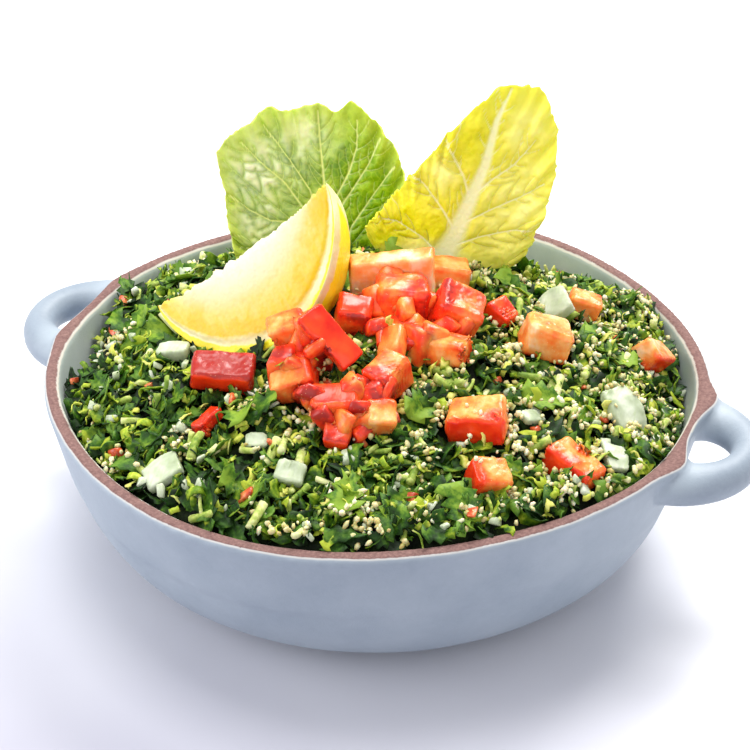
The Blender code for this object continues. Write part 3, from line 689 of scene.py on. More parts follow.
def lemonFinish():
    size = lemonSizes
    material, tree, shader, place = startMaterial("lemonFleshAndPeel")
    depth = reading(tree, "fromPeel")
    along = reading(tree, "alongFlesh")
    cloud = grainOf(tree, place, 0.12, 3.0)
    pore = cells(tree, place, 0.75)
    flatPlace = put(tree, "CombineXYZ", {0: along, 1: depth}).outputs[0]
    vesicle = grainOf(tree, stretched(tree, flatPlace, 0.55, 0.14, 1), 1.0, 2.0)
    wander = spread(tree, grainOf(tree, place, 0.4, 2.0), 0.3, 0.7, -0.4, 0.4)
    fromTip = reckon(tree, 'SUBTRACT', along, -size["length"] / 2)      # from the lower left tip
    zest = ramp(tree, cloud, (0.3, 244, 232, 14), (0.7, 252, 242, 52))
    zest = blend(tree, spread(tree, fromTip, 30, 10, 0, 0.4), zest, (244, 176, 6))
    pith = ramp(tree, cloud, (0.3, 226, 212, 140), (0.7, 238, 228, 184))
    juicy = ramp(tree, spread(tree, depth, 3, 30), (0.0, 214, 186, 40), (0.25, 215, 188, 40),
                 (0.42, 218, 197, 96), (0.6, 222, 206, 152), (0.8, 228, 216, 186), (1.0, 234, 226, 206))
    juicy = blend(tree, spread(tree, vesicle, 0.4, 0.7, 0, 0.2), juicy, (226, 210, 150))
    isRipe = reckon(tree, 'MULTIPLY', spread(tree, cloud, 0.46, 0.56, 0, 0.7), spread(tree, depth, 20, 13))
    juicy = blend(tree, isRipe, juicy, (218, 178, 0))
    zestTo = spread(tree, fromTip, 44, 20, 0, 2.0)      # the peel shows wider along the lower left
    edge = reckon(tree, 'SUBTRACT', reckon(tree, 'ADD', depth, wander), zestTo)
    colour = blend(tree, spread(tree, edge, size["zest"] - 0.3, size["zest"] + 0.3), zest, pith)
    # the peel is torn back to the pith beside the cut, towards the upper tip
    isSkin = reckon(tree, 'MULTIPLY', spread(tree, depth, 0.4, 0.1), spread(tree, fromTip, 24, 36))
    cutAway = reckon(tree, 'ADD', reading(tree, "fromCut"), wander)
    isTorn = reckon(tree, 'MULTIPLY', isSkin, spread(tree, cutAway, 4.2, 3.2))
    colour = blend(tree, isTorn, colour, pith)
    colour = blend(tree, spread(tree, edge, size["pith"] - 0.8, size["pith"] + 0.9), colour, juicy)
    feed(tree, shader, {"Base Color": colour, "Roughness": 0.36, "Specular IOR Level": 0.35,
                        **lightWithin(0.25, (1.0, 0.8, 0.3), 0.003)})
    relief(tree, shader, reckon(tree, 'ADD', pore, vesicle), 0.0003, 0.4)
    return material


makeLemon(lemonFinish())
print("lemon wedge cut")


# Reads a value from rows of (place, value), eased between them
def between(table, at):
    for (first, low), (second, high) in zip(table, table[1:]):
        if at <= second:
            t = (at - first) / (second - first)
            return low + (high - low) * (0.5 * t + 0.5 * smooth(t))
    return table[-1][1]


# A leaf is a fan from its base: places on it are (degrees from upright, distance from the base)
leafSizes = {"yaw": 19, "thick": 0.7, "across": 230, "up": 150, "from": 7, "toothEvery": 3.1}

leftLeaf = {
    "base": (-27, 36, 50), "lean": 12, "cup": -5, "ripple": 1.6,
    "seed": 3.0, "ruffle": 2.0, "teeth": 0.8, "quilt": 1.1, "vein": 0.35,
    "edge": ((-66, 31), (-58, 36), (-51.5, 40.5), (-46, 46), (-40.4, 51), (-37, 58), (-34, 63.5),
             (-29, 65.5), (-22, 66.5), (-16.5, 69), (-11, 65.8), (-3.3, 67.5), (1.5, 64.6),
             (5.4, 68.8), (12.4, 64), (17, 60), (21.8, 56.2), (25, 52), (30, 47)),
    # width at the base and at the end, side veins, then the points
    "veins": (
        (1.5, 0.5, 8, ((0, 6), (-1, 25), (-3, 38.6), (-3.2, 46), (-3.5, 55.6), (-3.6, 65))),
        (1.0, 0.3, 6, ((1, 12), (2.6, 37.9), (7.3, 46.3), (8.6, 54.5), (7.6, 63))),
        (0.9, 0.3, 5, ((1, 12), (5.3, 34.8), (10.2, 41.8), (13.9, 50.6), (15.4, 59))),
        (0.9, 0.3, 5, ((2, 12), (12.7, 28.9), (16.1, 34.4), (19.1, 41.8), (22.5, 52))),
        (0.7, 0.2, 3, ((3, 10), (15, 22), (22, 32), (25.5, 43))),
        (1.1, 0.3, 7, ((-1, 10), (-14.8, 35.3), (-19, 44.6), (-23.4, 51.9), (-27, 62))),
        (0.8, 0.3, 5, ((-1, 12), (-9.6, 40.1), (-14.6, 50.9), (-19, 64))),
        (0.9, 0.3, 5, ((-2, 10), (-24.3, 32.1), (-33.1, 35.7), (-37.7, 42), (-40, 50))),
        (0.7, 0.2, 4, ((-2, 10), (-20, 30), (-28, 40), (-32, 50), (-34, 60))),
        (0.8, 0.2, 4, ((-2, 8), (-35.8, 26), (-46, 31), (-54, 36))),
    ),
    "paintedSheen": ((-26, 52, 15), (-8, 58, 9), (-38, 38, 9)),      # where a painted highlight lies: degrees, distance, spread
}

rightLeaf = {
    "base": (3, 33, 58), "lean": 10, "cup": 5, "ripple": 1.8,
    "seed": 11.0, "ruffle": 1.7, "teeth": 1.6, "quilt": 1.2, "vein": 0.4,
    "edge": ((-37, 25), (-33, 31), (-22, 33.5), (-10, 38), (-3, 43), (4, 50), (10.5, 60),
             (15.6, 68.5), (19, 74.5), (23, 77), (28, 78.5), (35, 72), (42, 62), (50, 51),
             (58, 42), (68, 34)),
    "veins": (
        (10.5, 0.5, 12, ((14, 4), (22, 16.3), (24.6, 26.1), (23.7, 38.2), (23.3, 50.1), (21.1, 64.4),
                         (21.6, 75))),
        (1.0, 0.3, 5, ((24, 40), (28, 47), (32, 54), (33.5, 64))),
        (0.8, 0.3, 4, ((24.6, 30), (34, 38), (41, 47), (44, 55))),
        (0.8, 0.3, 4, ((24.2, 22), (38, 29), (49, 38), (55, 43))),
        (0.8, 0.2, 4, ((24, 38), (17, 45), (10, 52), (8, 56))),
        (0.8, 0.2, 4, ((24.4, 27), (12, 33), (2, 40), (-3, 43))),
        (0.8, 0.2, 4, ((23, 18), (2, 23), (-14, 29), (-24, 32))),
    ),
    "paintedSheen": ((44, 46, 14), (30, 66, 8), (8, 44, 7)),
}


def flatten(row):
    degrees, distance = row
    angle = math.radians(degrees)
    return np.array((distance * math.sin(angle), distance * math.cos(angle)))


# Adds finer veins that leave a main one on both sides and bend towards its end
def allVeins(leaf):
    veins = []
    for wide, narrow, sides, rows in leaf["veins"]:
        points = [flatten(row) for row in rows]
        veins.append((wide, narrow, points))
        for k in range(2 * sides):
            t = (0.18 + 0.74 * (k + 0.5) / (2 * sides)) * (len(points) - 1)
            first, second = points[int(t)], points[int(t) + 1]
            start = first + (second - first) * (t % 1)
            heading = math.atan2(*(second - first)[::-1])
            turn = (1 if k % 2 else -1) * (0.78 + 0.14 * math.sin(2.3 * k))
            length = 5.5 + 2.5 * math.sin(1.7 * k + len(veins))
            line = [start]
            for step in range(3):
                angle = heading + turn * (1 - 0.24 * step)
                line.append(line[-1] + np.array((math.cos(angle), math.sin(angle))) * length * 0.4)
            veins.append((min(0.34 * wide, 0.7), 0.15, line))
    return veins


# How strongly a vein shows at each place, 0 to 1, and how far the leaf stands up between the veins
def veinField(leaf, flatPlaces):
    strength = np.zeros(len(flatPlaces))
    nearest = np.full(len(flatPlaces), 9.0)
    for wide, narrow, points in allVeins(leaf):
        isMain = wide > 0.7
        for k in range(len(points) - 1):
            first, second = points[k], points[k + 1]
            along = second - first
            t = np.clip((flatPlaces - first) @ along / (along @ along), 0, 1)
            away = np.linalg.norm(flatPlaces - first - t[:, None] * along, axis=1)
            half = (wide + (narrow - wide) * ((k + t) / (len(points) - 1)) ** 0.8) / 2
            strength = np.maximum(strength, (1 if isMain else 0.6) * np.exp(-(away / (half + 0.16)) ** 2))
            nearest = np.minimum(nearest, np.maximum(away - half, 0) + (0 if isMain else 0.35))
    return strength, 1 - np.exp(-(nearest / 1.3) ** 1.5)


# How far the leaf's edge stands out at a place on it, with a tooth every few degrees
def leafReach(leaf, degrees):
    def waver(scale, row):
        return noise.noise(Vector((degrees / scale, leaf["seed"], row)))
    saw = (degrees / leafSizes["toothEvery"] + waver(7, 1) * 1.4) % 1      # a tooth leans to one side
    height = 0.5 + 0.5 * waver(5, 7)
    tooth = leaf["teeth"] * height * (saw ** 1.4 if saw < 0.8 else 4 * (1 - saw))
    tooth += 0.35 * leaf["teeth"] * waver(1.1, 3)
    return between(leaf["edge"], degrees) - 0.3 * leaf["teeth"] + tooth


def makeLeaf(name, leaf, material, slot, node):
    size = leafSizes
    bm = bmesh.new()
    bmesh.ops.create_grid(bm, x_segments=size["across"], y_segments=size["up"], size=0.5)
    low, high = leaf["edge"][0][0], leaf["edge"][-1][0]
    middle = (low + high) / 2
    places = []
    for vert in bm.verts:
        degrees = low + (high - low) * (vert.co.x + 0.5)
        reach = leafReach(leaf, degrees)
        places.append((degrees, size["from"] + (reach - size["from"]) * (vert.co.y + 0.5)))
    flat = np.array([flatten(row) for row in places])
    strength, raised = veinField(leaf, flat)
    puffs = []
    for k, vert in enumerate(bm.verts):
        degrees = places[k][0]
        v = vert.co.y + 0.5
        side = (degrees - middle) / (high - low) * 2
        depth = leaf["cup"] * side * side * v + leaf["ripple"] * v * v * math.sin(0.16 * degrees + 3 * v)
        here = Vector((flat[k][0], flat[k][1], leaf["seed"]))
        puff = max(0.55 + 0.45 * noise.fractal(here / 5, 0.8, 2.0, 3), 0) * raised[k] * smooth(3 * v)
        puffs.append(puff)
        margin = smooth((v - 0.7) / 0.3)
        depth -= leaf["quilt"] * puff * (1 - 0.4 * margin)
        depth += leaf["ruffle"] * margin * noise.noise(Vector((degrees / 3.0, leaf["seed"] + 4, 0))) * 1.7
        depth += leaf["vein"] * strength[k]
        vert.co = Vector((flat[k][0], depth, flat[k][1]))
    lean = Matrix.Rotation(math.radians(-leaf["lean"]), 4, 'X')
    yaw = Matrix.Rotation(math.radians(size["yaw"]), 4, 'Z')
    transform(bm, Matrix.Translation(Vector(leaf["base"])) @ yaw @ lean)
    piece = fromBmesh(name, bm, material)
    # painted highlight: pale sheen spots at a few places on the leaf
    paintedSheen = np.zeros(len(flat))
    for degrees, distance, width in leaf["paintedSheen"]:
        away = np.linalg.norm(flat - flatten((degrees, distance)), axis=1)
        paintedSheen = np.maximum(paintedSheen, np.exp(-(away / width) ** 2))
    marks = {
        "vein": strength, "puff": puffs, "paintedSheen": paintedSheen,
        "margin": [smooth((reach / between(leaf["edge"], at) - 0.8) / 0.2) for at, reach in places],
        "reach": [reach for at, reach in places],
        "side": [(at - middle) / (high - low) for at, reach in places],
    }
    paintPoints(piece, marks)
    modify(piece, 'SOLIDIFY', thickness=size["thick"] * mm, offset=0)
    settle(piece)
    remember(piece, "leaf")
    return dress(piece, slot, node)


def leafFinish(name, look):
    material, tree, shader, place = startMaterial(name)
    patch = grainOf(tree, place, 0.13, 4.0)
    net = cells(tree, place, 0.5, feature='DISTANCE_TO_EDGE')
    puff = reading(tree, "puff")
    # painted highlight: the sheen spots show on the raised puffs
    paintedSheenMask = reckon(tree, 'MULTIPLY', reading(tree, "paintedSheen"), spread(tree, puff, -0.1, 0.5))
    colour = ramp(tree, patch, (0.32, *look["deep"]), (0.5, *look["plain"]), (0.68, *look["bright"]))
    for factor, over in ((spread(tree, reading(tree, "side"), 0.0, 0.5, 0, 0.7), "rightSide"),
                         # painted shade: where the leaf sinks beside its veins it turns deep green
                         (spread(tree, puff, 0.35, 0.0, 0.0, 0.55), "deep"),
                         (spread(tree, net, 0.0, 0.14, 0.3, 0.0), "bright"),
                         (paintedSheenMask, "paintedSheen"),
                         (spread(tree, reading(tree, "margin"), 0, 1, 0, 0.6), "edge"),
                         (spread(tree, reading(tree, "vein"), 0.2, 0.8, 0, 0.85), "vein"),
                         (spread(tree, reading(tree, "reach"), look["baseReach"], 8), "base")):
        colour = blend(tree, factor, colour, look[over])
    feed(tree, shader, {"Base Color": colour, "Roughness": 0.36, "Specular IOR Level": 0.3,
                        **lightWithin(0.4, (0.8, 1.0, 0.2), 0.002)})
    relief(tree, shader, net, 0.0005, 0.4)
    return material


greenLeaf = leafFinish("greenLettuce", {
    "deep": (84, 130, 0), "plain": (146, 178, 0), "bright": (196, 212, 60),
    "rightSide": (122, 164, 0), "paintedSheen": (244, 246, 214), "edge": (206, 218, 80),
    "vein": (238, 244, 168), "base": (206, 216, 110), "baseReach": 18,
})
yellowLeaf = leafFinish("yellowLettuce", {
    "deep": (204, 200, 4), "plain": (228, 220, 10), "bright": (240, 230, 62),
    "rightSide": (250, 238, 136), "paintedSheen": (252, 246, 150), "edge": (236, 232, 70),
    "vein": (252, 250, 214), "base": (252, 250, 236), "baseReach": 24,
})
makeLeaf("lettuceLeft", leftLeaf, greenLeaf, "lettuce_green", "lettuce_leaf_left")
makeLeaf("lettuceRight", rightLeaf, yellowLeaf, "lettuce_yellow", "lettuce_leaf_right")
print("lettuce leaves grown")


# Which way a dice's skin faces (azimuth from the shown side, elevation, degrees), and how ripe it is
tomatoLooks = {
    1: (30, -50, 0.3), 2: (-60, 0, 0.6), 3: (180, 0, 0.36), 4: (60, 0, 0.3), 5: (-40, 20, 0.5),
    6: (0, -10, 0.36), 7: (-70, -10, 0.42), 8: (0, 60, 0.7), 9: (0, -5, 1.12), 10: (90, 0, 0.46),
    11: (-10, 0, 0.6), 12: (0, 80, 0.4), 13: (180, 0, 0.36), 14: (-60, 0, 0.55), 15: (180, 0, 0.42),
    16: (-20, -20, 0.6), 17: (0, 70, 0.5), 18: (180, 30, 0.35), 19: (60, 0, 0.42), 20: (60, -20, 0.58),
    21: (-60, -10, 0.6), 22: (60, 0, 0.62), 23: (-40, 30, 0.58), 24: (180, 40, 0.12),
}

tomatoSizes = {
    "voxel": 0.42, "soften": 2, "wave": 0.55, "grain": 0.14, "skinFrom": 0.55,
    "dents": 4, "dentDepth": 1.3, "dentSpread": 2.6,
    "pile": range(10, 25), "swell": 1.09,
}


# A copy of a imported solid, merged, with a fine even skin
def roundedCopy(node, name, material, voxel, soften):
    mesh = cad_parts[node].data.copy()
    mesh.name = name
    bm = bmesh.new()
    bm.from_mesh(mesh)
    bmesh.ops.remove_doubles(bm, verts=bm.verts[:], dist=0.00001)
    bm.to_mesh(mesh)
    bm.free()
    piece = newObject(name, mesh, material)
    evenSkin(piece, voxel, soften)
    return piece


# The main faces of a packed dice: their directions, largest first
def largestFaces(node):
    groups = {}
    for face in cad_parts[node].data.polygons:
        for direction in groups:
            if direction.dot(face.normal) > 0.97:
                groups[direction] += face.area
                break
        else:
            groups[face.normal.copy().freeze()] = face.area
    return sorted(groups, key=groups.get, reverse=True)[:6]


# 0 faces the camera's side, 90 its right
def shownDirection(azimuth, elevation):
    turn = math.radians(azimuth + view["turn"][2])
    rise = math.radians(elevation)
    return Vector((math.sin(turn) * math.cos(rise), -math.cos(turn) * math.cos(rise), math.sin(rise)))


def makeTomato(number, material):
    size = tomatoSizes
    azimuth, elevation, ripe = tomatoLooks[number]
    node = f"tomato_{number:02d}"
    piece = roundedCopy(node, f"tomatoDice{number:02d}", material, size["voxel"], size["soften"])
    wanted = shownDirection(azimuth, elevation)
    skinSide = max(largestFaces(node), key=lambda direction: direction.dot(wanted))
    reachOut = max(vert.co.dot(skinSide) for vert in piece.data.vertices)
    marks = {"hollow": [], "skin": [], "underSkin": [], "ripe": []}
    draw = random.Random(number)
    low, high = (np.array(corner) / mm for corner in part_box(node))
    dents = [Vector([draw.uniform(a, b) for a, b in zip(low, high)]) for _ in range(size["dents"])]
    middle = Vector((low + high) / 2)
    if number in size["pile"]:
        for vert in piece.data.vertices:
            vert.co = (middle + (vert.co / mm - middle) * size["swell"]) * mm
    for vert in piece.data.vertices:
        facing = smooth((vert.normal.dot(skinSide) - size["skinFrom"]) / 0.3)
        here = vert.co / mm
        wave = noise.noise(here / 5 + Vector((number, 0, 0))) * size["wave"]
        rough = noise.noise(here / 1.2) * size["grain"] * (1 - facing)
        sunk = max(bump((here - dent).length, size["dentSpread"]) for dent in dents) * (1 - facing)
        for mark, value in (("hollow", sunk), ("skin", facing), ("ripe", ripe),
                            ("underSkin", (reachOut - vert.co.dot(skinSide)) / mm)):
            marks[mark].append(value)
        vert.co += vert.normal * (wave + rough - sunk * size["dentDepth"]) * mm
    paintPoints(piece, marks)
    remember(piece, "tomato")
    return dress(piece, "tomato", node)


def tomatoFinish():
    material, tree, shader, place = startMaterial("tomatoFlesh")
    cloud = grainOf(tree, place, 0.17, 3.0)
    fibre = grainOf(tree, stretched(tree, place, 0.9, 0.25, 0.35), 1.0, 3.0)
    ripeness = reading(tree, "ripe")
    for part in (spread(tree, cloud, 0.3, 0.7, -0.26, 0.26),
                 spread(tree, reading(tree, "underSkin"), 0.5, 4.0, 0.3, 0.0),
                 spread(tree, fibre, 0.35, 0.7, 0.03, -0.05),
                 # painted shade: the dents turn a deeper, darker red
                 spread(tree, reading(tree, "hollow"), 0.2, 0.9, 0.0, 0.2)):
        ripeness = reckon(tree, 'ADD', ripeness, part)
    flesh = ramp(tree, ripeness, (0.0, 255, 214, 178), (0.2, 255, 182, 112), (0.4, 255, 146, 66),
                 (0.62, 252, 100, 40), (0.82, 234, 56, 28), (1.0, 164, 38, 30))
    isSeed = spread(tree, cells(tree, place, 0.9), 0.14, 0.06, 0, 0.55)
    flesh = blend(tree, isSeed, flesh, (255, 222, 176))
    skin = ramp(tree, cloud, (0.3, 214, 32, 16), (0.7, 248, 78, 28))
    isSkin = reading(tree, "skin")
    feed(tree, shader, {"Base Color": blend(tree, isSkin, flesh, skin),
                        "Roughness": spread(tree, isSkin, 0, 1, 0.28, 0.18), "Specular IOR Level": 0.4,
                        **lightWithin(0.5, (1.0, 0.4, 0.15), 0.005)})
    relief(tree, shader, fibre, 0.0003, 0.25)
    return material


tomatoFlesh = tomatoFinish()
for number in tomatoLooks:
    makeTomato(number, tomatoFlesh)
print("tomato dice cut")


onionSizes = {"count": 8, "voxel": 0.5, "soften": 6, "layer": 0.3}


def makeOnion(number, material):
    size = onionSizes
    node = f"onion_{number:02d}"
    piece = roundedCopy(node, f"onionPiece{number:02d}", material, size["voxel"], size["soften"])
    for vert in piece.data.vertices:
        vert.co += vert.normal * noise.noise(vert.co / mm / 3.5) * size["layer"] * mm
    remember(piece, "onion")
    return dress(piece, "onion", node)


def onionFinish(name="onionLayer"):
    material, tree, shader, place = startMaterial(name)
    cloud = grainOf(tree, place, 0.14, 3.0)
    lines = grainOf(tree, stretched(tree, place, 1.4, 0.15, 0.5), 1.0, 2.0)
    colour = ramp(tree, cloud, (0.3, 146, 160, 124), (0.5, 182, 192, 164), (0.7, 216, 222, 204))
    colour = blend(tree, spread(tree, lines, 0.5, 0.7, 0, 0.4), colour, (176, 194, 140))
    feed(tree, shader, {"Base Color": colour, "Roughness": 0.3, "Specular IOR Level": 0.4,
                        **lightWithin(0.45, (1.0, 1.0, 0.8), 0.002)})
    relief(tree, shader, lines, 0.0003, 0.4)
    return material


onionLayer = onionFinish()
for number in range(1, onionSizes["count"] + 1):
    makeOnion(number, onionLayer)
print("onion pieces cut")


# A small shape's points, its faces as lists of point numbers, and how pale each point is
def asArrays(bm, paleness=None):
    bm.verts.index_update()
    points = np.array([vert.co[:] for vert in bm.verts])
    faces = [[vert.index for vert in face.verts] for face in bm.faces]
    shade = np.zeros(len(points)) if paleness is None else np.array([paleness(vert.co) for vert in bm.verts])
    bm.free()
    return points, faces, shade


# Keeps points below the rim inside the wall
def heldByWall(points):
    x, y, z = points.T
    rim, clear = bowlSizes["rimHeight"], 0.35
    radius = np.hypot(x, y)
    angle = np.arctan2(y, x)
    table = np.arange(20, rim + 0.5, 0.5)
    reach = np.interp(np.minimum(z, rim), table, [innerWall(height) for height in table])
    shift = np.array([wobble(turn, rim - 2) if far else 0 for turn, far in zip(angle, radius > 88)])
    limit = np.where(z < rim + 0.6, reach + shift - clear, bowlSizes["rimRadius"] - 2.5)
    points[:, :2] *= np.minimum(1, limit / np.maximum(radius, 1))[:, None]
    return points


# Lays a shape at every place and joins them: places are (which shape, turn, size, spot, tone)
def joinCopies(name, shapes, places, material, mark="tone"):
    points, corners, counts, tones = [], [], [], []
    start = 0
    for which, turn, size, spot, tone in places:
        shapePoints, shapeFaces, shade = shapes[which]
        points.append((shapePoints * size) @ turn.T + spot)
        for face in shapeFaces:
            corners.extend(index + start for index in face)
            counts.append(len(face))
        tones.append(shade + tone)
        start += len(shapePoints)
    mesh = bpy.data.meshes.new(name)
    mesh.vertices.add(start)
    mesh.vertices.foreach_set("co", (heldByWall(np.concatenate(points)) * mm).ravel())
    mesh.loops.add(len(corners))
    mesh.loops.foreach_set("vertex_index", corners)
    mesh.polygons.add(len(counts))
    mesh.polygons.foreach_set("loop_start", np.concatenate(([0], np.cumsum(counts)[:-1])))
    mesh.update(calc_edges=True)
    mesh.validate()
    mesh.shade_smooth()
    piece = newObject(name, mesh, material)
    paintPoints(piece, {mark: np.concatenate(tones)})
    return dress(piece, "salad")


# A chopped bit of leaf: lobed or plain, cut straight at one end, folded along its rib and curled
def leafBit(draw, cut):
    length, width = draw.uniform(*cut["length"]), draw.uniform(*cut["width"])
    fold = draw.uniform(*cut["fold"]) if cut["fold"] else 0.0
    along, across = cut["cells"]
    bm = bmesh.new()
    bmesh.ops.create_grid(bm, x_segments=along, y_segments=across, size=0.5)
    bend, sway = draw.uniform(-1, 1) * cut["curl"], draw.uniform(-0.6, 0.6)
    twist = draw.uniform(-1.3, 1.3)
    tip = draw.uniform(0.15, 0.8)
    phase = draw.uniform(0, math.tau)
    startSide = draw.choice((0, 1))
    for vert in bm.verts:
        u, v = vert.co.x + 0.5, vert.co.y * 2
        half = (1 - (1 - tip) * u ** 1.6) * (0.75 + 0.35 * math.sin(math.pi * min(u * 1.2, 1)))
        x = length * (u - 0.5)
        if abs(v) > 0.9:
            isLobe = (round(u * along) + startSide + (v > 0)) % 2
            half *= 1 + cut["lobes"] * (draw.uniform(0.3, 0.9) if isLobe else draw.uniform(-1.3, -0.5))
            if along > 4:
                x += cut["lobes"] * draw.uniform(0.0, 0.9)      # lobes lean to the tip
        if u > 0.95:
            x += 0.3 * width * draw.uniform(-0.8, 0.6)
        side = width * half * v / 2
        height = fold * abs(side) + bend * (u - 0.5) ** 2 * length
        height += 0.25 * math.sin(5 * u + phase) + draw.uniform(-0.12, 0.12)
        turn = twist * (u - 0.5)
        vert.co = Vector((x, side * math.cos(turn) + sway * (u - 0.5) ** 2 * length,
                          height + side * math.sin(turn)))
    rib = [(0.22 if abs(vert.co.y) < 0.2 * width else -0.04) for vert in bm.verts]
    faceOut(bm)
    bmesh.ops.solidify(bm, geom=bm.faces[:], thickness=cut["thick"])
    points, faces, shade = asArrays(bm)
    shade = np.array([rib[k % len(rib)] + 0.3 * (points[k][0] < -0.3 * length) + draw.uniform(-0.14, 0.14)
                      for k in range(len(points))])
    return points, faces, shade


stemSizes = {"length": (3, 9), "radius": (0.5, 1.5), "taper": 0.85, "sides": 7, "bend": 0.05, "slant": 0.8}
curlSizes = {"radius": (1.2, 2.2), "turn": (2.2, 4.6), "width": (1.4, 2.8), "thick": 0.28}
grainSizes = {"uneven": (-0.24, 0.2), "length": (1.05, 1.5), "height": (0.65, 0.95)}
chunkSizes = {"uneven": 0.18, "length": 1.2, "width": (0.6, 1), "height": (0.35, 0.7), "bevel": 0.1}


def stemBit(draw):
    size = stemSizes
    length, radius = draw.uniform(*size["length"]), draw.uniform(*size["radius"])
    bm = bmesh.new()
    lying = Matrix.Rotation(math.pi / 2, 4, 'Y')
    bmesh.ops.create_cone(bm, cap_ends=True, segments=size["sides"], radius1=radius,
                          radius2=radius * size["taper"], depth=length, matrix=lying)
    along = [edge for edge in bm.edges if abs(edge.verts[0].co.x - edge.verts[1].co.x) > 1]
    bmesh.ops.subdivide_edges(bm, edges=along, cuts=2)
    bend = draw.uniform(-size["bend"], size["bend"])
    slant = draw.uniform(-size["slant"], size["slant"])
    for vert in bm.verts:
        vert.co.z += bend * vert.co.x ** 2
        vert.co.x += slant * vert.co.y * (1 if vert.co.x > length / 3 else 0)
    return asArrays(bm, lambda at: 0.35 if abs(at.x) > 0.42 * length else draw.uniform(-0.1, 0.1))


# Cracked wheat: a small uneven angular lump
def grainBit(draw):
    bm = bmesh.new()
    bmesh.ops.create_icosphere(bm, subdivisions=1, radius=0.5)
    for vert in bm.verts:
        vert.co *= 1 + draw.uniform(*grainSizes["uneven"])
    long, high = draw.uniform(*grainSizes["length"]), draw.uniform(*grainSizes["height"])
    bmesh.ops.scale(bm, vec=(long, 1.0, high), verts=bm.verts[:])
    return asArrays(bm, lambda at: draw.uniform(-0.15, 0.15))


# A cut bit of onion or tomato: an uneven block with its edges taken off
def chunkBit(draw):
    size = chunkSizes
    bm = bmesh.new()
    bmesh.ops.create_cube(bm, size=1)
    for vert in bm.verts:
        vert.co += Vector([draw.uniform(-size["uneven"], size["uneven"]) for _ in range(3)])
    wide, high = draw.uniform(*size["width"]), draw.uniform(*size["height"])
    bmesh.ops.scale(bm, vec=(size["length"], wide, high), verts=bm.verts[:])
    bmesh.ops.bevel(bm, geom=bm.edges[:], offset=size["bevel"], segments=1, profile=0.5,
                    affect='EDGES', material=-1)
    return asArrays(bm, lambda at: draw.uniform(-0.15, 0.15))


# A strip of leaf rolled part of the way round
def curlBit(draw):
    bm = bmesh.new()
    bmesh.ops.create_grid(bm, x_segments=8, y_segments=1, size=0.5)
    radius, rolled = draw.uniform(*curlSizes["radius"]), draw.uniform(*curlSizes["turn"])
    width = draw.uniform(*curlSizes["width"])
    for vert in bm.verts:
        turn = vert.co.x * rolled
        out = radius * (1 + 0.2 * vert.co.x) + draw.uniform(-0.12, 0.12)
        vert.co = Vector((out * math.sin(turn), vert.co.y * width * draw.uniform(0.8, 1.1),
                          out * math.cos(turn) - radius * 0.5))
    faceOut(bm)
    bmesh.ops.solidify(bm, geom=bm.faces[:], thickness=curlSizes["thick"])
    return asArrays(bm, lambda at: 0.25 * (abs(at.y) > 0.4 * width) + draw.uniform(-0.12, 0.12))


# Whether a spot lies inside a closed surface: an upward line from it leaves an odd number of times
def isWithin(tree, spot):
    crossings, at = 0, spot.copy()
    while at is not None and crossings < 12:
        hit = tree.ray_cast(at, Vector((0.02, 0.03, 1)))[0]
        crossings += hit is not None
        at = None if hit is None else hit + Vector((0, 0, 0.002))
    return crossings % 2 == 1


# Whether a spot is clear of every topping
def isFree(spot, gap):
    for kind, tree in toppings:
        near, _, _, distance = tree.find_nearest(spot, 16)
        if near is not None and (distance < gap or isWithin(tree, spot)):
            return False
    return True


# The upper face of a tomato or onion piece above or below a spot
def topOf(spot):
    highest = None
    for kind, tree in toppings:
        if kind in ("tomato", "onion"):
            at, normal, _, _ = tree.ray_cast(Vector((spot.x, spot.y, 130)), Vector((0, 0, -1)))
            isTop = at is not None and abs(at.z - spot.z) < 9 and normal.z > 0.45
            if isTop and (highest is None or at.z > highest[0].z):
                highest = (at, normal, kind)
    return highest


def patchiness(x, y, scale, seed):
    return noise.noise(Vector((x / scale, y / scale, seed)))


def isOpenWall(x, y, reach):
    return any(abs(turnFrom(degrees, math.atan2(y, x))) < half and math.hypot(x, y) > beyond - reach
               for degrees, half, beyond in heapSizes["openWall"])


# pieces lying lower on the heap take darker tones: painted shade
looseTones = {"plain": 0.3, "vary": 0.2, "paintedShadeByRise": 0.11, "byPatch": 0.4, "patch": 13}
looseSizes = {"jitter": 1.5, "turnJitter": 0.3, "nearWall": 1.5, "overTop": 0.4, "onTomato": 0.4}


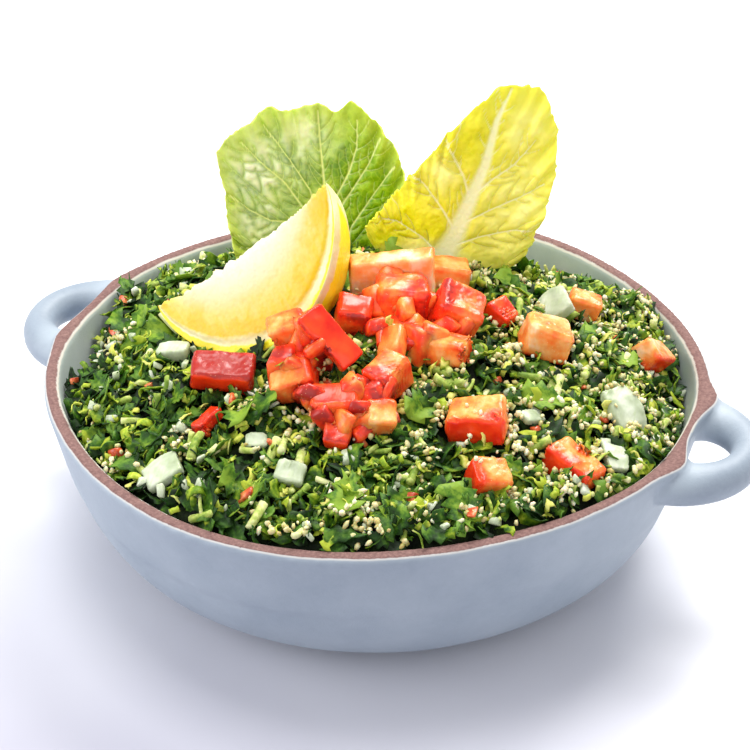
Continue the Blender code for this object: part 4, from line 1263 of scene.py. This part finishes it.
# Spots on the heap for one kind, as joinCopies takes them
def scatter(kind, draw):
    places = []
    goldenAngle = math.pi * (3 - math.sqrt(5))
    jitter, turnJitter = looseSizes["jitter"], looseSizes["turnJitter"]
    for index in range(kind["count"]):
        share = (index + draw.random()) / kind["count"]
        radius = (heapSizes["radius"] + looseSizes["nearWall"] - kind["reach"]) * math.sqrt(share)
        angle = index * goldenAngle + draw.uniform(-turnJitter, turnJitter)
        x = radius * math.cos(angle) + draw.uniform(-jitter, jitter)
        y = radius * math.sin(angle) + draw.uniform(-jitter, jitter)
        if patchiness(x, y, kind["patch"], kind["seed"]) < kind["bare"] - kind.get("lean", 0) * x:
            continue
        for _ in range(kind.get("cluster", 1)):
            u, v = x + draw.gauss(0, kind.get("loose", 0)), y + draw.gauss(0, kind.get("loose", 0))
            rise = draw.uniform(*kind["lift"])
            lift = rise + roughness(u, v)
            spot = Vector((u, v, heapHeight(u, v) + lift))
            tilt = heapSlope(u, v)
            size = draw.uniform(*kind["size"])
            chance = draw.random()
            isPastWall = math.hypot(u, v) > innerReach(u, v, spot.z) - kind["reach"]
            if isPastWall or isOpenWall(u, v, kind["reach"]):
                continue
            if not isFree(spot, kind["gap"]):
                top = topOf(spot) if chance < kind["onTop"] else None
                if top is None or top[2] == "tomato" and chance > looseSizes["onTomato"] * kind["onTop"]:
                    continue
                spot = top[0] + top[1] * looseSizes["overTop"]
                tilt = standOn(top[1])
                size = min(size, 0.5 * (kind["size"][0] + kind["size"][1]))
            turn = tilt @ Euler((draw.gauss(0, kind["tip"]), draw.gauss(0, kind["tip"]),
                                 draw.uniform(0, math.tau)), 'ZYX').to_matrix()
            # painted shade: pieces lying lower on the heap take darker tones
            tone = draw.gauss(looseTones["plain"], looseTones["vary"]) + looseTones["paintedShadeByRise"] * rise
            tone += looseTones["byPatch"] * patchiness(u, v, looseTones["patch"], 5.0)
            places.append((draw.randrange(kind["shapes"]), np.array(turn), size, np.array(spot), tone))
    return places


# gap keeps a kind off the toppings; bare is how much of the heap it leaves out, and lean how much less
# of it to the right; onTop is the chance that one which falls on a tomato or onion piece lies on it
looseColumns = ("count", "shapes", "size", "lift", "tip", "reach", "gap", "patch", "bare", "seed", "onTop")
looseKinds = {
    "deepParsley": (1750, 14, (0.75, 1.2), (-1.8, 0.8), 0.5, 0.8, 1.0, 9, -0.9, 1.0, 0.0),
    "broadParsley": (210, 12, (0.8, 1.2), (0.2, 2.2), 0.4, 4, 4.5, 9, -0.3, 21.0, 0.0),
    "freshParsley": (1550, 14, (0.7, 1.15), (-0.8, 1.8), 0.6, 0.8, 1.5, 8, -0.4, 2.0, 0.04),
    "paleParsley": (800, 10, (0.7, 1.15), (0.0, 2.4), 0.7, 0.6, 0.5, 8, -0.1, 8.0, 0.08),
    "parsleySlivers": (700, 8, (0.7, 1.3), (0.2, 2.6), 0.7, 0.6, 0.5, 8, -0.2, 12.0, 0.12),
    "curledParsley": (620, 8, (0.7, 1.2), (0.0, 2.0), 0.9, 1.0, 0.9, 9, -0.3, 3.0, 0.05),
    "parsleyStems": (620, 10, (0.6, 1.1), (0.0, 2.0), 0.5, 1.2, 1.2, 9, -0.2, 4.0, 0.02),
    "bulgur": (950, 8, (1.1, 2.2), (0.6, 2.8), 1.0, 0.8, 0.3, 10, 0.08, 5.0, 0.12),
    "onionBits": (520, 10, (1.3, 3.2), (0.2, 2.2), 0.8, 1.2, 0.7, 10, -0.1, 6.0, 0.05),
    "tomatoBits": (70, 6, (1.8, 4.2), (0.2, 1.8), 0.6, 2.0, 0.8, 11, -0.2, 7.0, 0.0),
}
bulgurClusters = {"lean": 0.004, "cluster": 7, "loose": 1.9}      # grains lie together in clusters

leafColumns = ("length", "width", "cells", "fold", "curl", "lobes", "thick")
leafCuts = {
    "deepParsley": ((7, 11.5), (4, 6.6), (6, 3), (-0.1, 0.4), 1.0, 0.35, 0.24),      # cells along, across
    "broadParsley": ((10, 15), (6, 9), (8, 6), (0.05, 0.5), 0.9, 0.4, 0.24),
    "freshParsley": ((5.5, 10), (2.8, 5), (6, 3), (-0.3, 0.5), 1.2, 0.4, 0.24),
    "paleParsley": ((3.5, 7), (1.8, 3.4), (5, 2), (-0.4, 0.6), 1.5, 0.4, 0.24),
    "parsleySlivers": ((2.6, 6.5), (0.6, 1.3), (4, 1), None, 1.8, 0.2, 0.35),
}

# material, then deep, low, high and top tone
parsleyTones = {
    # deepParsley lies lowest; its dark tones are partly the herb's own dark green, partly painted shade
    "deepParsley": ("deepParsleyLeaf", (14, 32, 8), (30, 62, 16), (54, 92, 24), (98, 134, 42)),
    "freshParsley": ("freshParsleyLeaf", (20, 46, 6), (50, 86, 10), (98, 128, 18), (164, 178, 48)),
    "broadParsley": ("broadParsleyLeaf", (16, 40, 6), (36, 72, 12), (70, 110, 20), (122, 152, 42)),
    "paleParsley": ("paleParsleyLeaf", (56, 86, 14), (112, 136, 28), (168, 178, 58), (216, 214, 116)),
    "parsleySlivers": ("parsleySliver", (40, 72, 14), (90, 122, 30), (150, 170, 62), (210, 212, 126)),
    "curledParsley": ("curledParsleyLeaf", (50, 86, 14), (104, 136, 24), (158, 178, 44), (210, 214, 92)),
    "parsleyStems": ("parsleyStem", (104, 134, 44), (152, 172, 74), (194, 204, 118), (226, 228, 168)),
}


def leafTone(name, deep, low, high, top):
    material, tree, shader, place = startMaterial(name)
    streak = grainOf(tree, place, 0.8, 3.0)
    tone = reckon(tree, 'ADD', reading(tree, "tone"), spread(tree, streak, 0.3, 0.7, -0.18, 0.18))
    colour = ramp(tree, tone, (0.1, *deep), (0.4, *low), (0.65, *high), (0.95, *top))
    feed(tree, shader, {"Base Color": colour, "Roughness": 0.55, "Specular IOR Level": 0.22,
                        **lightWithin(0.15, (0.5, 1.0, 0.2), 0.001)})
    relief(tree, shader, streak, 0.0004, 0.5)
    return material


def grainFinish():
    material, tree, shader, place = startMaterial("soakedBulgur")
    speck = grainOf(tree, place, 1.3, 3.0)
    tone = reckon(tree, 'ADD', reading(tree, "tone"), spread(tree, speck, 0.3, 0.7, -0.2, 0.2))
    colour = ramp(tree, tone, (0.1, 178, 166, 92), (0.5, 216, 208, 150), (0.9, 240, 238, 204))
    feed(tree, shader, {"Base Color": colour, "Roughness": 0.5, **lightWithin(0.3, (1.0, 0.2, 0.1), 0.001)})
    relief(tree, shader, speck, 0.0003, 0.5)
    return material


def tomatoBitFinish():
    material, tree, shader, place = startMaterial("tomatoScraps")
    cloud = grainOf(tree, place, 0.4, 3.0)
    colour = ramp(tree, cloud, (0.3, 150, 40, 20), (0.5, 206, 88, 46), (0.7, 236, 150, 90))
    feed(tree, shader, {"Base Color": colour, "Roughness": 0.3})
    relief(tree, shader, cloud, 0.0004, 0.5)
    return material


scrapSizes = {"kinds": 10, "within": 19, "perPair": 2, "along": (0.35, 0.65), "size": (6, 9.5),
              "ripe": (0.15, 0.65)}


# Scraps of flesh that fill the hollows between neighbouring dice of the pile
def pileScraps(draw):
    size = scrapSizes
    middles = [np.array(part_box(f"tomato_{number:02d}")).mean(axis=0) / mm for number in tomatoSizes["pile"]]
    places = []
    for first, one in enumerate(middles):
        for other in middles[first + 1:]:
            if np.linalg.norm(one - other) >= size["within"]:
                continue
            for _ in range(size["perPair"]):
                spot = one + (other - one) * draw.uniform(*size["along"])
                spot = spot + [draw.uniform(-2.5, 2.5), draw.uniform(-2.5, 2.5), draw.uniform(-1.5, 2.0)]
                turn = Euler([draw.uniform(0, math.tau) for _ in range(3)], 'XYZ').to_matrix()
                ripe = draw.uniform(*size["ripe"])
                places.append((draw.randrange(size["kinds"]), np.array(turn), draw.uniform(*size["size"]),
                               spot, ripe))
    return places


def makeLoose():
    draw = random.Random(41)
    makers = {"curledParsley": curlBit, "parsleyStems": stemBit, "bulgur": grainBit,
              "onionBits": chunkBit, "tomatoBits": chunkBit}
    finishes = {"bulgur": grainFinish(), "onionBits": onionFinish("onionCrumb"),
                "tomatoBits": tomatoBitFinish()}
    for name, row in looseKinds.items():
        kind = dict(zip(looseColumns, row))
        if name == "bulgur":
            kind.update(bulgurClusters)
        if name in leafCuts:
            cut = dict(zip(leafColumns, leafCuts[name]))
            shapes = [leafBit(draw, cut) for _ in range(kind["shapes"])]
        else:
            shapes = [makers[name](draw) for _ in range(kind["shapes"])]
        if name in parsleyTones:
            finishes[name] = leafTone(*parsleyTones[name])
        places = scatter(kind, draw)
        piece = joinCopies(name, shapes, places, finishes[name])
        print(name, len(places), "pieces,", len(piece.data.polygons), "faces")
    scraps = [chunkBit(draw) for _ in range(scrapSizes["kinds"])]
    joinCopies("pileScraps", scraps, pileScraps(draw), tomatoFlesh, "ripe")


makeLoose()
print("loose pieces laid")
